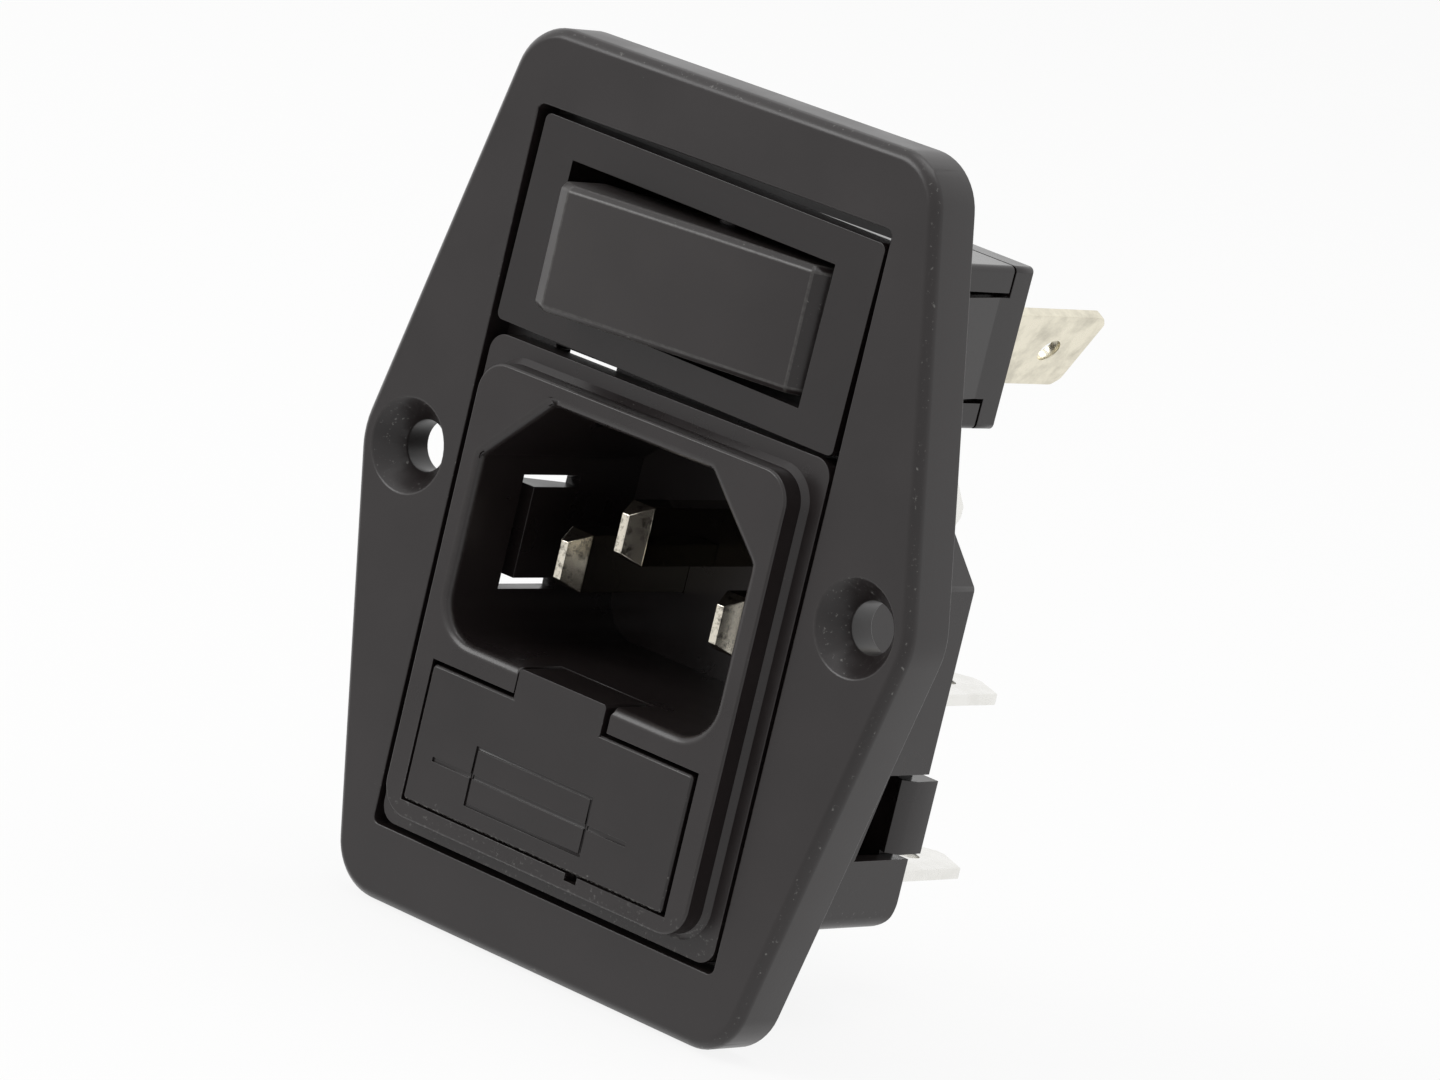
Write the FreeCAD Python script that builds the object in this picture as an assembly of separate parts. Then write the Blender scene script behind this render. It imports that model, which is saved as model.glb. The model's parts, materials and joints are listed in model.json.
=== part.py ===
"""Panel power inlet with a fuse drawer and a rocker switch in one screw flange.

Frame: +X right as seen from the front, +Z up, the front faces -Y.
The origin lies midway between the two screw holes, on the flange's rear face.
All sizes are in millimetres.
"""
import FreeCAD
import Part
import math
import os

Vec = FreeCAD.Vector
TINY = 1e-6

# Flange
FLANGE_POINT_X = 24.65
FLANGE_END_X = 17.8
FLANGE_TOP_Z = 30.0
FLANGE_DEPTH = 4.0
FLANGE_POINT_ROUND = 6.0
FLANGE_CORNER_ROUND = 4.0
FLANGE_EDGE_ROUND = 0.6
POCKET_X = 15.5
POCKET_Z = 24.85
LEDGE_X = 13.9
LEDGE_FRONT = -1.9
LEDGE_REAR = -0.3
TOP_LEDGE_Z = 23.93
BOTTOM_LEDGE_Z = -23.85
BAR_Z = (8.0, 10.9)
BAR_SLOT_X = (-11.1, -5.7)
BAR_SLOT_Z = (9.05, 9.63)
SCREW_X = 20.0
SCREW_R = 1.75
SINK_R = 3.25
SINK_DEPTH = 1.9

# Depths shared by the two modules
RIM_FRONT = -3.8
RIM_REAR = LEDGE_FRONT
MODULE_X = 13.2

# Inlet housing
INLET_RIM_X = 15.1
INLET_RIM_TOP = 9.45
INLET_RIM_BOTTOM = -24.5
BLOCK_X = 13.7
BLOCK_TOP = 8.05
BLOCK_BOTTOM = -23.25
BLOCK_FACE = -5.8
BODY_TOP = 7.6
BODY_BOTTOM = -23.35
BODY_STEP = 11.2
BODY_REAR = 16.6
BODY_CORNER = 2.0
BODY_SLOPE_X = 6.75
BODY_SLOPE_Z = 0.4
RECESS_X = 12.0
RECESS_TOP = 6.5
RECESS_BOTTOM = -10.5
RECESS_SLOPE_X = 7.05
RECESS_SLOPE_Z = 1.7
RECESS_ROUND = 2.8
FLOOR_FRONT = 10.7
FLOOR_REAR = 12.5
CHAMBER_BOTTOM = -21.9
CHAMBER_SLOPE_X = 6.35
CHAMBER_SLOPE_Z = 0.2
TONGUE_Z = (-6.75, -0.42)
TONGUE_ROOT = 4.7

# Pins and flat tabs
PIN_X = 7.0
PIN_Z = -3.9
PIN_TIP = -1.4
EARTH_Z = 0.1
EARTH_TIP = -4.4
PIN_WIDE = 2.0
PIN_TALL = 4.0
PIN_BEVEL = 1.6
TAB_WIDE = 6.3
TAB_THICK = 0.8
TAB_HOLE_R = 0.9
TAB_HOLE_SETBACK = 3.7
RIGHT_TAB_Z = -8.4
RIGHT_TAB_TIP = 27.6
FUSED_TAB_Z = -20.8
FUSED_TAB_TIP = 28.3
EARTH_TAB_Z = 1.8
EARTH_TAB_TIP = 30.3

# Fuse drawer and fuse
CAVITY_X = 12.0
CAVITY_TOP = -12.3
CAVITY_BOTTOM = -22.05
LUG_NOTCH = (-4.6, 3.8)
LUG_TOP = -10.55
FUSE_R = 2.6
FUSE_LENGTH = 20.0
FUSE_Y = 5.35
FUSE_Z = -17.6
SPARE_Y = -0.75
CAP_LENGTH = 5.0
CAP_WALL = 0.3
TROUGH_R = 2.8

# Switch
SWITCH_Z = 17.05
SWITCH_SKEW = 1.1
BEZEL_X = 15.0
BEZEL_HALF_Z = 7.05
WINDOW_X = (-11.85, 11.4)
WINDOW_Z = (12.15, 21.7)
SWITCH_HALF_Z = 5.55
SWITCH_SPLIT = 12.4
SWITCH_BASE_FRONT = 12.6
SWITCH_REAR = 14.4
PIVOT_Y = -0.79
PIVOT_R = 0.8
PIVOT_PLAY = 0.05
ROCKER_Z = 16.8
ROCKER_HALF_X = 10.45
ROCKER_FACE_X = 9.4
ROCKER_HALF_Z = 4.25
ROCKER_HEIGHT = 5.2
ROCKER_END_BEVEL = 0.82
ROCKER_SIDE_BEVEL = 0.4
ROCKER_END = 0.4
ROCKER_KEEL = 0.6
ROCKER_DISH = 0.1
ROCKER_TILT = 10.4
POST_R = 2.2
POST_END = 3.3
BORE_R = 1.3
BORE_END = -2.3
PLUNGER_TIP = 5.67
LEVER_Y = 5.2
LEVER_THICK = 0.8
LEVER_HALF_X = 9.2
LEVER_HALF_Z = 2.4
LEVER_TILT = 6.0
CONTACT_X = 8.0
CONTACT_R = 1.1
CONTACT_TAB_X = 9.6
CONTACT_TAB_Z = 16.3
SWITCH_TAB_TIP = 26.3
SWITCH_TAB_TRIM = 0.6
SWITCH_TAB_TWIST = 28.0
TERMINAL_WIDE = 5.2
WING_HALF_Z = 3.45
WING_TIP_X = 14.3


def loop(corners, place):
    """Closed wire through (u, v, radius) corners, each rounded; place turns (u, v) into a point."""
    turns = []
    for i, (u, v, radius) in enumerate(corners):
        here = Vec(u, v, 0)
        if radius < TINY:
            turns.append((here, None, here))
            continue
        back = (Vec(corners[i - 1][0], corners[i - 1][1], 0) - here).normalize()
        onward = corners[(i + 1) % len(corners)]
        ahead = (Vec(onward[0], onward[1], 0) - here).normalize()
        half = back.getAngle(ahead) / 2
        inward = (back + ahead).normalize()
        reach = radius / math.tan(half)
        middle = here + inward * (radius / math.sin(half) - radius)
        turns.append((here + back * reach, middle, here + ahead * reach))
    edges = []
    for i, (start, middle, end) in enumerate(turns):
        last = turns[i - 1][2]
        if start.distanceToPoint(last) > TINY:
            edges.append(Part.LineSegment(place(last), place(start)).toShape())
        if middle is not None:
            edges.append(Part.Arc(place(start), place(middle), place(end)).toShape())
    return Part.Wire(edges)


def along_x(corners, x0, x1):
    """Prism of a (y, z) outline from x0 to x1."""
    face = Part.Face(loop(corners, lambda p: Vec(x0, p.x, p.y)))
    return face.extrude(Vec(x1 - x0, 0, 0))


def along_y(corners, y0, y1):
    """Prism of an (x, z) outline from y0 to y1."""
    face = Part.Face(loop(corners, lambda p: Vec(p.x, y0, p.y)))
    return face.extrude(Vec(0, y1 - y0, 0))


def along_z(corners, z0, z1):
    """Prism of an (x, y) outline from z0 to z1."""
    face = Part.Face(loop(corners, lambda p: Vec(p.x, p.y, z0)))
    return face.extrude(Vec(0, 0, z1 - z0))


def block(x0, x1, y0, y1, z0, z1):
    """Plain block between two corners."""
    return Part.makeBox(x1 - x0, y1 - y0, z1 - z0, Vec(x0, y0, z0))


def rectangle(x0, x1, z0, z1, radius=0.0):
    """Corners of a rectangle, all with one radius."""
    return [(x1, z1, radius), (x0, z1, radius), (x0, z0, radius), (x1, z0, radius)]


def both_sides(shape):
    """A shape and its mirror image across the middle plane."""
    return [shape, shape.mirror(Vec(0, 0, 0), Vec(1, 0, 0))]


def cylinder_y(radius, y0, y1, x, z):
    """Cylinder along Y."""
    return Part.makeCylinder(radius, y1 - y0, Vec(x, y0, z), Vec(0, 1, 0))


def bevel_edges(shape, size, chosen):
    """Break every edge whose corners all pass the test."""
    edges = [e for e in shape.Edges if all(chosen(v.Point) for v in e.Vertexes)]
    return shape.makeChamfer(size, edges)


def soften_edges(shape, size, plane_y, chosen):
    """Give the chosen front edges a rounded look with three narrow facets."""
    facet = size * 0.3
    shape = bevel_edges(shape, size, lambda p: abs(p.y - plane_y) < TINY and chosen(p))
    shape = bevel_edges(shape, facet, lambda p: abs(p.y - plane_y) < TINY and chosen(p))
    return bevel_edges(shape, facet, lambda p: abs(p.y - plane_y - size) < TINY and chosen(p))


def strip_corners(path, thick):
    """Outline of a bent strip from its middle line of (u, v, bend radius) points."""
    left = []
    right = []
    for i, (u, v, bend) in enumerate(path):
        here = Vec(u, v, 0)
        into = None
        onto = None
        if i > 0:
            into = (here - Vec(path[i - 1][0], path[i - 1][1], 0)).normalize()
        if i + 1 < len(path):
            onto = (Vec(path[i + 1][0], path[i + 1][1], 0) - here).normalize()
        into = into or onto
        onto = onto or into
        side = (Vec(-into.y, into.x, 0) + Vec(-onto.y, onto.x, 0)).normalize()
        reach = thick / 2 / side.dot(Vec(-into.y, into.x, 0))
        turn = into.x * onto.y - into.y * onto.x
        swing = math.copysign(thick / 2, turn) if bend else 0.0
        left.append((u + side.x * reach, v + side.y * reach, bend - swing))
        right.append((u - side.x * reach, v - side.y * reach, bend + swing))
    return left + right[::-1]


def roof_tip(tip, middle, wide, drop):
    """Two (across, along) triangles that bring a tab's end to a blunt point."""
    flat = 0.4
    edge = wide / 2 + 0.5
    slope = drop / (wide / 2 - flat)
    fall = tip - slope * (edge - flat)
    return [[(middle + s * flat, tip, 0), (middle + s * edge, tip + 0.5, 0), (middle + s * edge, fall, 0)]
            for s in (-1, 1)]


def flange_frame():
    """Hexagonal flange with a through pocket, two countersunk holes, ledges and a slotted bar."""
    outline = [(FLANGE_POINT_X, 0, FLANGE_POINT_ROUND),
               (FLANGE_END_X, FLANGE_TOP_Z, FLANGE_CORNER_ROUND),
               (-FLANGE_END_X, FLANGE_TOP_Z, FLANGE_CORNER_ROUND),
               (-FLANGE_POINT_X, 0, FLANGE_POINT_ROUND),
               (-FLANGE_END_X, -FLANGE_TOP_Z, FLANGE_CORNER_ROUND),
               (FLANGE_END_X, -FLANGE_TOP_Z, FLANGE_CORNER_ROUND)]
    plate = along_y(outline, -FLANGE_DEPTH, 0)
    plate = soften_edges(plate, FLANGE_EDGE_ROUND, -FLANGE_DEPTH, lambda p: True)
    pocket = along_y(rectangle(-POCKET_X, POCKET_X, -POCKET_Z, POCKET_Z, 0.5), -FLANGE_DEPTH - 1, 1)
    plate = plate.cut(pocket)
    wall_x = POCKET_X + 0.2
    wall_z = POCKET_Z + 0.2
    ledge = block(LEDGE_X, wall_x, LEDGE_FRONT, LEDGE_REAR, -wall_z, wall_z)
    top_ledge = block(-wall_x, wall_x, LEDGE_FRONT, LEDGE_REAR, TOP_LEDGE_Z, wall_z)
    low_ledge = block(-wall_x, wall_x, LEDGE_FRONT, LEDGE_REAR, -wall_z, BOTTOM_LEDGE_Z)
    bar = block(-wall_x, wall_x, LEDGE_FRONT, LEDGE_REAR, BAR_Z[0], BAR_Z[1])
    slot = block(BAR_SLOT_X[0], BAR_SLOT_X[1], LEDGE_FRONT - 1, LEDGE_REAR + 1, BAR_SLOT_Z[0], BAR_SLOT_Z[1])
    plate = plate.fuse(both_sides(ledge) + [top_ledge, low_ledge, bar.cut(slot)]).removeSplitter()
    for x in (-SCREW_X, SCREW_X):
        plate = plate.cut(cylinder_y(SCREW_R, -FLANGE_DEPTH - 1, 1, x, 0))
        sink = Part.makeCone(SINK_R, SCREW_R, SINK_DEPTH, Vec(x, -FLANGE_DEPTH, 0), Vec(0, 1, 0))
        plate = plate.cut(sink)
    return plate


def sloped_outline(half_x, top, bottom, slope_x, slope_z, top_round, bottom_round):
    """Outline with its two upper corners cut off at a slope."""
    right = [(half_x, bottom, bottom_round), (half_x, slope_z, top_round), (slope_x, top, top_round)]
    return right + [(-x, z, r) for x, z, r in right[::-1]]


def inlet_housing():
    """Moulded inlet: rim, raised block, plug recess, drawer cavity, snap tongues and terminal chamber."""
    rim = along_y(rectangle(-INLET_RIM_X, INLET_RIM_X, INLET_RIM_BOTTOM, INLET_RIM_TOP, 1.3),
                  RIM_FRONT, RIM_REAR)
    raised = along_y(rectangle(-BLOCK_X, BLOCK_X, BLOCK_BOTTOM, BLOCK_TOP, 2.2), BLOCK_FACE, RIM_FRONT)
    front = rim.fuse(raised).removeSplitter()
    on_block = lambda p: abs(p.x) < BLOCK_X + TINY and BLOCK_BOTTOM - TINY < p.z < BLOCK_TOP + TINY
    front = bevel_edges(front, 0.15, lambda p: on_block(p) and abs(p.y - BLOCK_FACE) < TINY)
    front = bevel_edges(front, 0.4, lambda p: on_block(p) and abs(p.y - RIM_FRONT) < TINY)
    body = along_y(sloped_outline(MODULE_X, BODY_TOP, BODY_BOTTOM, BODY_SLOPE_X, BODY_SLOPE_Z, 0.6, 1.0),
                   BODY_STEP, BODY_REAR)
    heel = along_x([(BODY_REAR, BODY_BOTTOM, 0), (BODY_REAR, BODY_BOTTOM + 2, 0),
                    (BODY_REAR - 2, BODY_BOTTOM, 0)], -MODULE_X, MODULE_X)
    roll = Part.makeCylinder(2, 2 * MODULE_X, Vec(-MODULE_X, BODY_REAR - 2, BODY_BOTTOM + 2), Vec(1, 0, 0))
    body = body.cut(heel.cut(roll))
    shoulder = along_y(sloped_outline(MODULE_X, BODY_TOP, BODY_BOTTOM, MODULE_X - BODY_CORNER,
                                      BODY_TOP - BODY_CORNER, 0.6, 1.0), RIM_REAR, BODY_STEP)
    housing = front.fuse([shoulder, body]).removeSplitter()

    recess = along_y(sloped_outline(RECESS_X, RECESS_TOP, RECESS_BOTTOM, RECESS_SLOPE_X, RECESS_SLOPE_Z,
                                    0.4, RECESS_ROUND), BLOCK_FACE - 1, FLOOR_FRONT)
    housing = housing.cut(recess)
    in_mouth = lambda p: abs(p.x) < RECESS_X + TINY and RECESS_BOTTOM - TINY < p.z < RECESS_TOP + TINY
    housing = bevel_edges(housing, 0.4, lambda p: in_mouth(p) and abs(p.y - BLOCK_FACE) < TINY)

    cuts = [block(-CAVITY_X, CAVITY_X, BLOCK_FACE - 1, FLOOR_FRONT, CAVITY_BOTTOM, CAVITY_TOP),
            block(LUG_NOTCH[0], LUG_NOTCH[1], BLOCK_FACE - 1, -1.6, CAVITY_TOP - 0.2, RECESS_BOTTOM + 0.3),
            block(3.15, 4.2, BLOCK_FACE - 1, BLOCK_FACE + 1.2, CAVITY_BOTTOM - 0.5, CAVITY_BOTTOM + 0.2),
            along_y(sloped_outline(RECESS_X, RECESS_TOP, CHAMBER_BOTTOM, CHAMBER_SLOPE_X, CHAMBER_SLOPE_Z,
                                   0.4, 0.4), FLOOR_REAR, BODY_REAR + 1)]
    for x in (-PIN_X, PIN_X):
        cuts.append(block(x - 3.4, x + 3.4, FLOOR_FRONT - 1, FLOOR_REAR + 1, CHAMBER_BOTTOM, -13.4))
        cuts.append(pin_slot(x, PIN_Z))
    cuts.append(pin_slot(0, EARTH_Z))
    low, high = TONGUE_Z
    under = low - 0.75
    over = high + 0.83
    for z0, z1, y1 in ((high, over, TONGUE_ROOT), (under, low, TONGUE_ROOT), (under, over, 0.25)):
        cuts += both_sides(block(RECESS_X - 0.5, MODULE_X + 0.5, -1.0, y1, z0, z1))
    cuts += both_sides(along_x([(10.9, -18.4, 0), (12.5, -12.5, 0), (BODY_REAR + 1, -12.5, 0),
                                (BODY_REAR + 1, -18.4, 0)], RECESS_X - 0.5, MODULE_X + 0.5))
    for cut in cuts:
        housing = housing.cut(cut)
    barb = along_z([(MODULE_X - 0.3, TONGUE_ROOT, 0), (MODULE_X - 0.3, 0.25, 0), (14.5, 0.25, 0),
                    (14.5, 0.75, 0), (MODULE_X, TONGUE_ROOT, 0)], low, high)
    return housing.fuse(both_sides(barb)).removeSplitter()


def pin_slot(x, z):
    """Slot through the recess floor that grips a pin."""
    snug = 0.02
    return block(x - PIN_WIDE / 2 - snug, x + PIN_WIDE / 2 + snug, FLOOR_FRONT - 1, FLOOR_REAR + 1,
                 z - PIN_TALL / 2 - snug, z + PIN_TALL / 2 + snug)


def blade(x, z, tip, end):
    """Flat pin with its tip bevelled on all four sides."""
    half_wide = PIN_WIDE / 2
    half_tall = PIN_TALL / 2
    bevel = Part.makeWedge(x - 0.3, tip, z - 1.3, z - half_tall, x - half_wide,
                           x + 0.3, tip + PIN_BEVEL, z + 1.3, z + half_tall, x + half_wide)
    shank = block(x - half_wide, x + half_wide, tip + PIN_BEVEL, end, z - half_tall, z + half_tall)
    return bevel.fuse(shank).removeSplitter()


def power_pin(x):
    """Side pin with the shank that is staked into its strip."""
    shank = block(x - 0.5, x + 0.5, FLOOR_REAR - 0.5, FLOOR_REAR + TAB_THICK + 0.2, PIN_Z - 1.3, PIN_Z + 1.3)
    return blade(x, PIN_Z, PIN_TIP, FLOOR_REAR).fuse(shank).removeSplitter()


def earth_pin():
    """Middle pin, which runs on as an upright tab."""
    low = EARTH_TAB_Z - TAB_WIDE / 2
    high = EARTH_TAB_Z + TAB_WIDE / 2
    tab = block(-TAB_THICK / 2, TAB_THICK / 2, FLOOR_REAR, EARTH_TAB_TIP, low, high)
    for triangle in roof_tip(EARTH_TAB_TIP, EARTH_TAB_Z, TAB_WIDE, 2.0):
        tab = tab.cut(along_x([(along, across, r) for across, along, r in triangle], -1, 1))
    hole_y = EARTH_TAB_TIP - TAB_HOLE_SETBACK
    hole = Part.makeCylinder(TAB_HOLE_R, 2, Vec(-1, hole_y, EARTH_TAB_Z), Vec(1, 0, 0))
    return blade(0, EARTH_Z, EARTH_TIP, FLOOR_REAR).fuse(tab.cut(hole)).removeSplitter()


def finish_flat_tab(strip, z, tip):
    """Pointed end and wiring hole of a level tab behind the right pin."""
    for triangle in roof_tip(tip, PIN_X, TAB_WIDE, 1.6):
        strip = strip.cut(along_z(triangle, z - 1, z + 1))
    hole = Part.makeCylinder(TAB_HOLE_R, 2, Vec(PIN_X, tip - TAB_HOLE_SETBACK, z - 1))
    return strip.cut(hole)


def shank_slot(x):
    """Slot in a strip for a pin's shank."""
    return block(x - 0.52, x + 0.52, FLOOR_REAR - 1, FLOOR_REAR + 2, PIN_Z - 1.32, PIN_Z + 1.32)


def right_terminal():
    """Strip folded from the right pin's shank to a level tab."""
    seat = FLOOR_REAR + TAB_THICK / 2
    path = [(seat, PIN_Z + 2.2, 0), (seat, RIGHT_TAB_Z, 1.0), (RIGHT_TAB_TIP, RIGHT_TAB_Z, 0)]
    strip = along_x(strip_corners(path, TAB_THICK), PIN_X - TAB_WIDE / 2, PIN_X + TAB_WIDE / 2)
    return finish_flat_tab(strip.cut(shank_slot(PIN_X)), RIGHT_TAB_Z, RIGHT_TAB_TIP)


def spring_leaf_path():
    """Middle line of the bowed leaf that bears on a fuse cap, from its foot to its free end."""
    bow = FUSE_Y + FUSE_R + 0.2 + TAB_THICK / 2
    return [(bow + 2.0, FUSED_TAB_Z, 1.2), (bow, FUSE_Z, 2.5), (bow + 1.8, FUSE_Z + 3.6, 0)]


def left_fuse_contact():
    """Strip from the left pin's shank down to a leaf behind the fuse's left cap."""
    seat = FLOOR_REAR + TAB_THICK / 2
    path = [(seat, PIN_Z + 2.2, 0), (seat, FUSED_TAB_Z, 0.8)] + spring_leaf_path()
    strip = along_x(strip_corners(path, TAB_THICK), -PIN_X - TAB_WIDE / 2, -PIN_X + TAB_WIDE / 2)
    return strip.cut(shank_slot(-PIN_X))


def right_fuse_contact():
    """Level tab that runs forward to a leaf behind the fuse's right cap."""
    path = [(FUSED_TAB_TIP, FUSED_TAB_Z, 0)] + spring_leaf_path()
    strip = along_x(strip_corners(path, TAB_THICK), PIN_X - TAB_WIDE / 2, PIN_X + TAB_WIDE / 2)
    return finish_flat_tab(strip, FUSED_TAB_Z, FUSED_TAB_TIP)


def inlet_rear_cover():
    """Plate that closes the terminal chamber, with a latch at each side."""
    gap = 0.1
    front = BODY_REAR - 1.6
    plate = along_y(sloped_outline(RECESS_X - gap, RECESS_TOP - gap, CHAMBER_BOTTOM + gap, CHAMBER_SLOPE_X,
                                   CHAMBER_SLOPE_Z - gap, 0.4, 0.4), front, BODY_REAR)
    latch = along_z([(RECESS_X - 0.5, front, 0), (MODULE_X - 0.6, front - 0.4, 0),
                     (MODULE_X, front + 0.6, 0), (MODULE_X - 0.1, BODY_REAR + 1.3, 0),
                     (RECESS_X - 0.5, BODY_REAR + 1.3, 0)], -18.1, -13.0)
    plate = plate.fuse(both_sides(latch)).removeSplitter()
    snug = 0.05
    half_wide = TAB_WIDE / 2 + snug
    half_thick = TAB_THICK / 2 + snug
    slots = [block(-half_thick, half_thick, front - 1, BODY_REAR + 1, EARTH_TAB_Z - half_wide,
                   EARTH_TAB_Z + half_wide)]
    for z in (RIGHT_TAB_Z, FUSED_TAB_Z):
        slots.append(block(PIN_X - half_wide, PIN_X + half_wide, front - 1, BODY_REAR + 1,
                           z - half_thick, z + half_thick))
    for slot in slots:
        plate = plate.cut(slot)
    return plate


def trough(y):
    """Space for one fuse across the drawer, open above."""
    half = FUSE_LENGTH / 2 + 0.3
    round_part = Part.makeCylinder(TROUGH_R, 2 * half, Vec(-half, y, FUSE_Z), Vec(1, 0, 0))
    return round_part.fuse(block(-half, half, y - TROUGH_R, y + TROUGH_R, FUSE_Z, CAVITY_TOP + 1))


def fuse_drawer():
    """Drawer: front plate with its lug, and a tray with a working trough and an empty spare one."""
    plate_rear = BLOCK_FACE + 1.9
    plate = along_y(rectangle(-11.9, 11.6, CAVITY_BOTTOM + 0.1, CAVITY_TOP - 0.3, 0.3),
                    BLOCK_FACE, plate_rear)
    plate = bevel_edges(plate, 0.15, lambda p: abs(p.y - BLOCK_FACE) < TINY)
    lug = along_y(rectangle(LUG_NOTCH[0] + 0.1, LUG_NOTCH[1] - 0.5, CAVITY_TOP - 0.5, LUG_TOP, 0.3),
                  BLOCK_FACE, -1.75)
    tray_rear = FUSE_Y + TROUGH_R + 0.8
    tray = block(-11.5, 11.5, plate_rear - 0.2, tray_rear, CAVITY_BOTTOM + 0.4, FUSE_Z + 1.4)
    tray = tray.cut(trough(FUSE_Y)).cut(trough(SPARE_Y))
    open_rear = block(3.4, FUSE_LENGTH / 2 + 0.4, FUSE_Y, tray_rear + 1, FUSE_Z - TROUGH_R - 0.2, CAVITY_TOP)
    for side in both_sides(open_rear):
        tray = tray.cut(side)
    return plate.fuse([lug, tray]).removeSplitter()


def fuse_tube():
    """Glass tube of the fuse."""
    half = FUSE_LENGTH / 2 - CAP_WALL
    outside = FUSE_R - CAP_WALL
    tube = Part.makeCylinder(outside, 2 * half, Vec(-half, FUSE_Y, FUSE_Z), Vec(1, 0, 0))
    return tube.cut(Part.makeCylinder(outside - 0.5, 2 * half, Vec(-half, FUSE_Y, FUSE_Z), Vec(1, 0, 0)))


def fuse_end_caps():
    """Two drawn metal cups on the ends of the tube."""
    half = FUSE_LENGTH / 2
    mouth = Vec(half - CAP_LENGTH, FUSE_Y, FUSE_Z)
    cup = Part.makeCylinder(FUSE_R, CAP_LENGTH, mouth, Vec(1, 0, 0))
    hollow = Part.makeCylinder(FUSE_R - CAP_WALL, CAP_LENGTH - CAP_WALL, mouth, Vec(1, 0, 0))
    return Part.makeCompound(both_sides(cup.cut(hollow)))


def fuse_wire():
    """Fusible wire from cap to cap."""
    half = FUSE_LENGTH / 2 - CAP_WALL
    return Part.makeCylinder(0.15, 2 * half, Vec(-half, FUSE_Y, FUSE_Z), Vec(1, 0, 0))


def seat_switch(shape):
    """The switch sits a little askew in the pocket, within its play."""
    return shape.rotated(Vec(0, 0, SWITCH_Z), Vec(0, 1, 0), SWITCH_SKEW)


def switch_housing():
    """Bezel and body of the switch, with a channel for a wing down each side and an upright pivot bore."""
    bezel = along_y(rectangle(-BEZEL_X, BEZEL_X, SWITCH_Z - BEZEL_HALF_Z, SWITCH_Z + BEZEL_HALF_Z, 0.5),
                    RIM_FRONT, RIM_REAR)
    body = along_y(rectangle(-MODULE_X, MODULE_X, SWITCH_Z - SWITCH_HALF_Z, SWITCH_Z + SWITCH_HALF_Z, 0.4),
                   RIM_REAR, SWITCH_SPLIT)
    housing = bezel.fuse(body).removeSplitter()
    window = block(WINDOW_X[0], WINDOW_X[1], RIM_FRONT - 1, SWITCH_SPLIT + 1, WINDOW_Z[0], WINDOW_Z[1])
    housing = housing.cut(window)
    channel = block(MODULE_X - 0.9, MODULE_X + 0.5, -1.2, SWITCH_SPLIT + 1, SWITCH_Z - WING_HALF_Z - 0.3,
                    SWITCH_Z + WING_HALF_Z + 0.3)
    for side in both_sides(channel):
        housing = housing.cut(side)
    bore = Part.makeCylinder(PIVOT_R + PIVOT_PLAY, 2 * SWITCH_HALF_Z + 2,
                             Vec(0, PIVOT_Y, SWITCH_Z - SWITCH_HALF_Z - 1))
    return seat_switch(housing).cut(bore)


def switch_base():
    """Rear plate of the switch: spigot inside the body, terminal slots and a sprung wing down each side."""
    plate = along_y(rectangle(-MODULE_X, MODULE_X, SWITCH_Z - SWITCH_HALF_Z, SWITCH_Z + SWITCH_HALF_Z, 0.4),
                    SWITCH_BASE_FRONT, SWITCH_REAR)
    snug = 0.05
    spigot = along_y(rectangle(WINDOW_X[0] + snug, WINDOW_X[1] - snug, WINDOW_Z[0] + snug, WINDOW_Z[1] - snug,
                               0.3), SWITCH_SPLIT - 1.6, SWITCH_BASE_FRONT)
    wing = along_z([(MODULE_X - 0.7, SWITCH_REAR - 1, 0), (MODULE_X - 0.7, SWITCH_BASE_FRONT - 1, 2.0),
                    (WING_TIP_X - 0.7, 0.3, 0), (WING_TIP_X, 0.3, 0), (WING_TIP_X, 0.9, 0),
                    (MODULE_X, SWITCH_BASE_FRONT - 1, 2.0), (MODULE_X, SWITCH_REAR - 1, 0)],
                   SWITCH_Z - WING_HALF_Z, SWITCH_Z + WING_HALF_Z)
    base = plate.fuse([spigot] + both_sides(wing)).removeSplitter()
    half_thick = TAB_THICK / 2 + 0.03
    half_wide = TERMINAL_WIDE / 2 + 0.03
    for x, z in ((0, SWITCH_Z), (CONTACT_TAB_X, CONTACT_TAB_Z)):
        base = base.cut(block(x - half_thick, x + half_thick, 0, SWITCH_REAR + 1,
                              z - half_wide, z + half_wide))
    return seat_switch(base)


def tilt_rocker(shape):
    """Turn a shape from the rocker's middle position to its rest position."""
    return shape.rotated(Vec(0, PIVOT_Y, ROCKER_Z), Vec(0, 0, 1), ROCKER_TILT)


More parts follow.
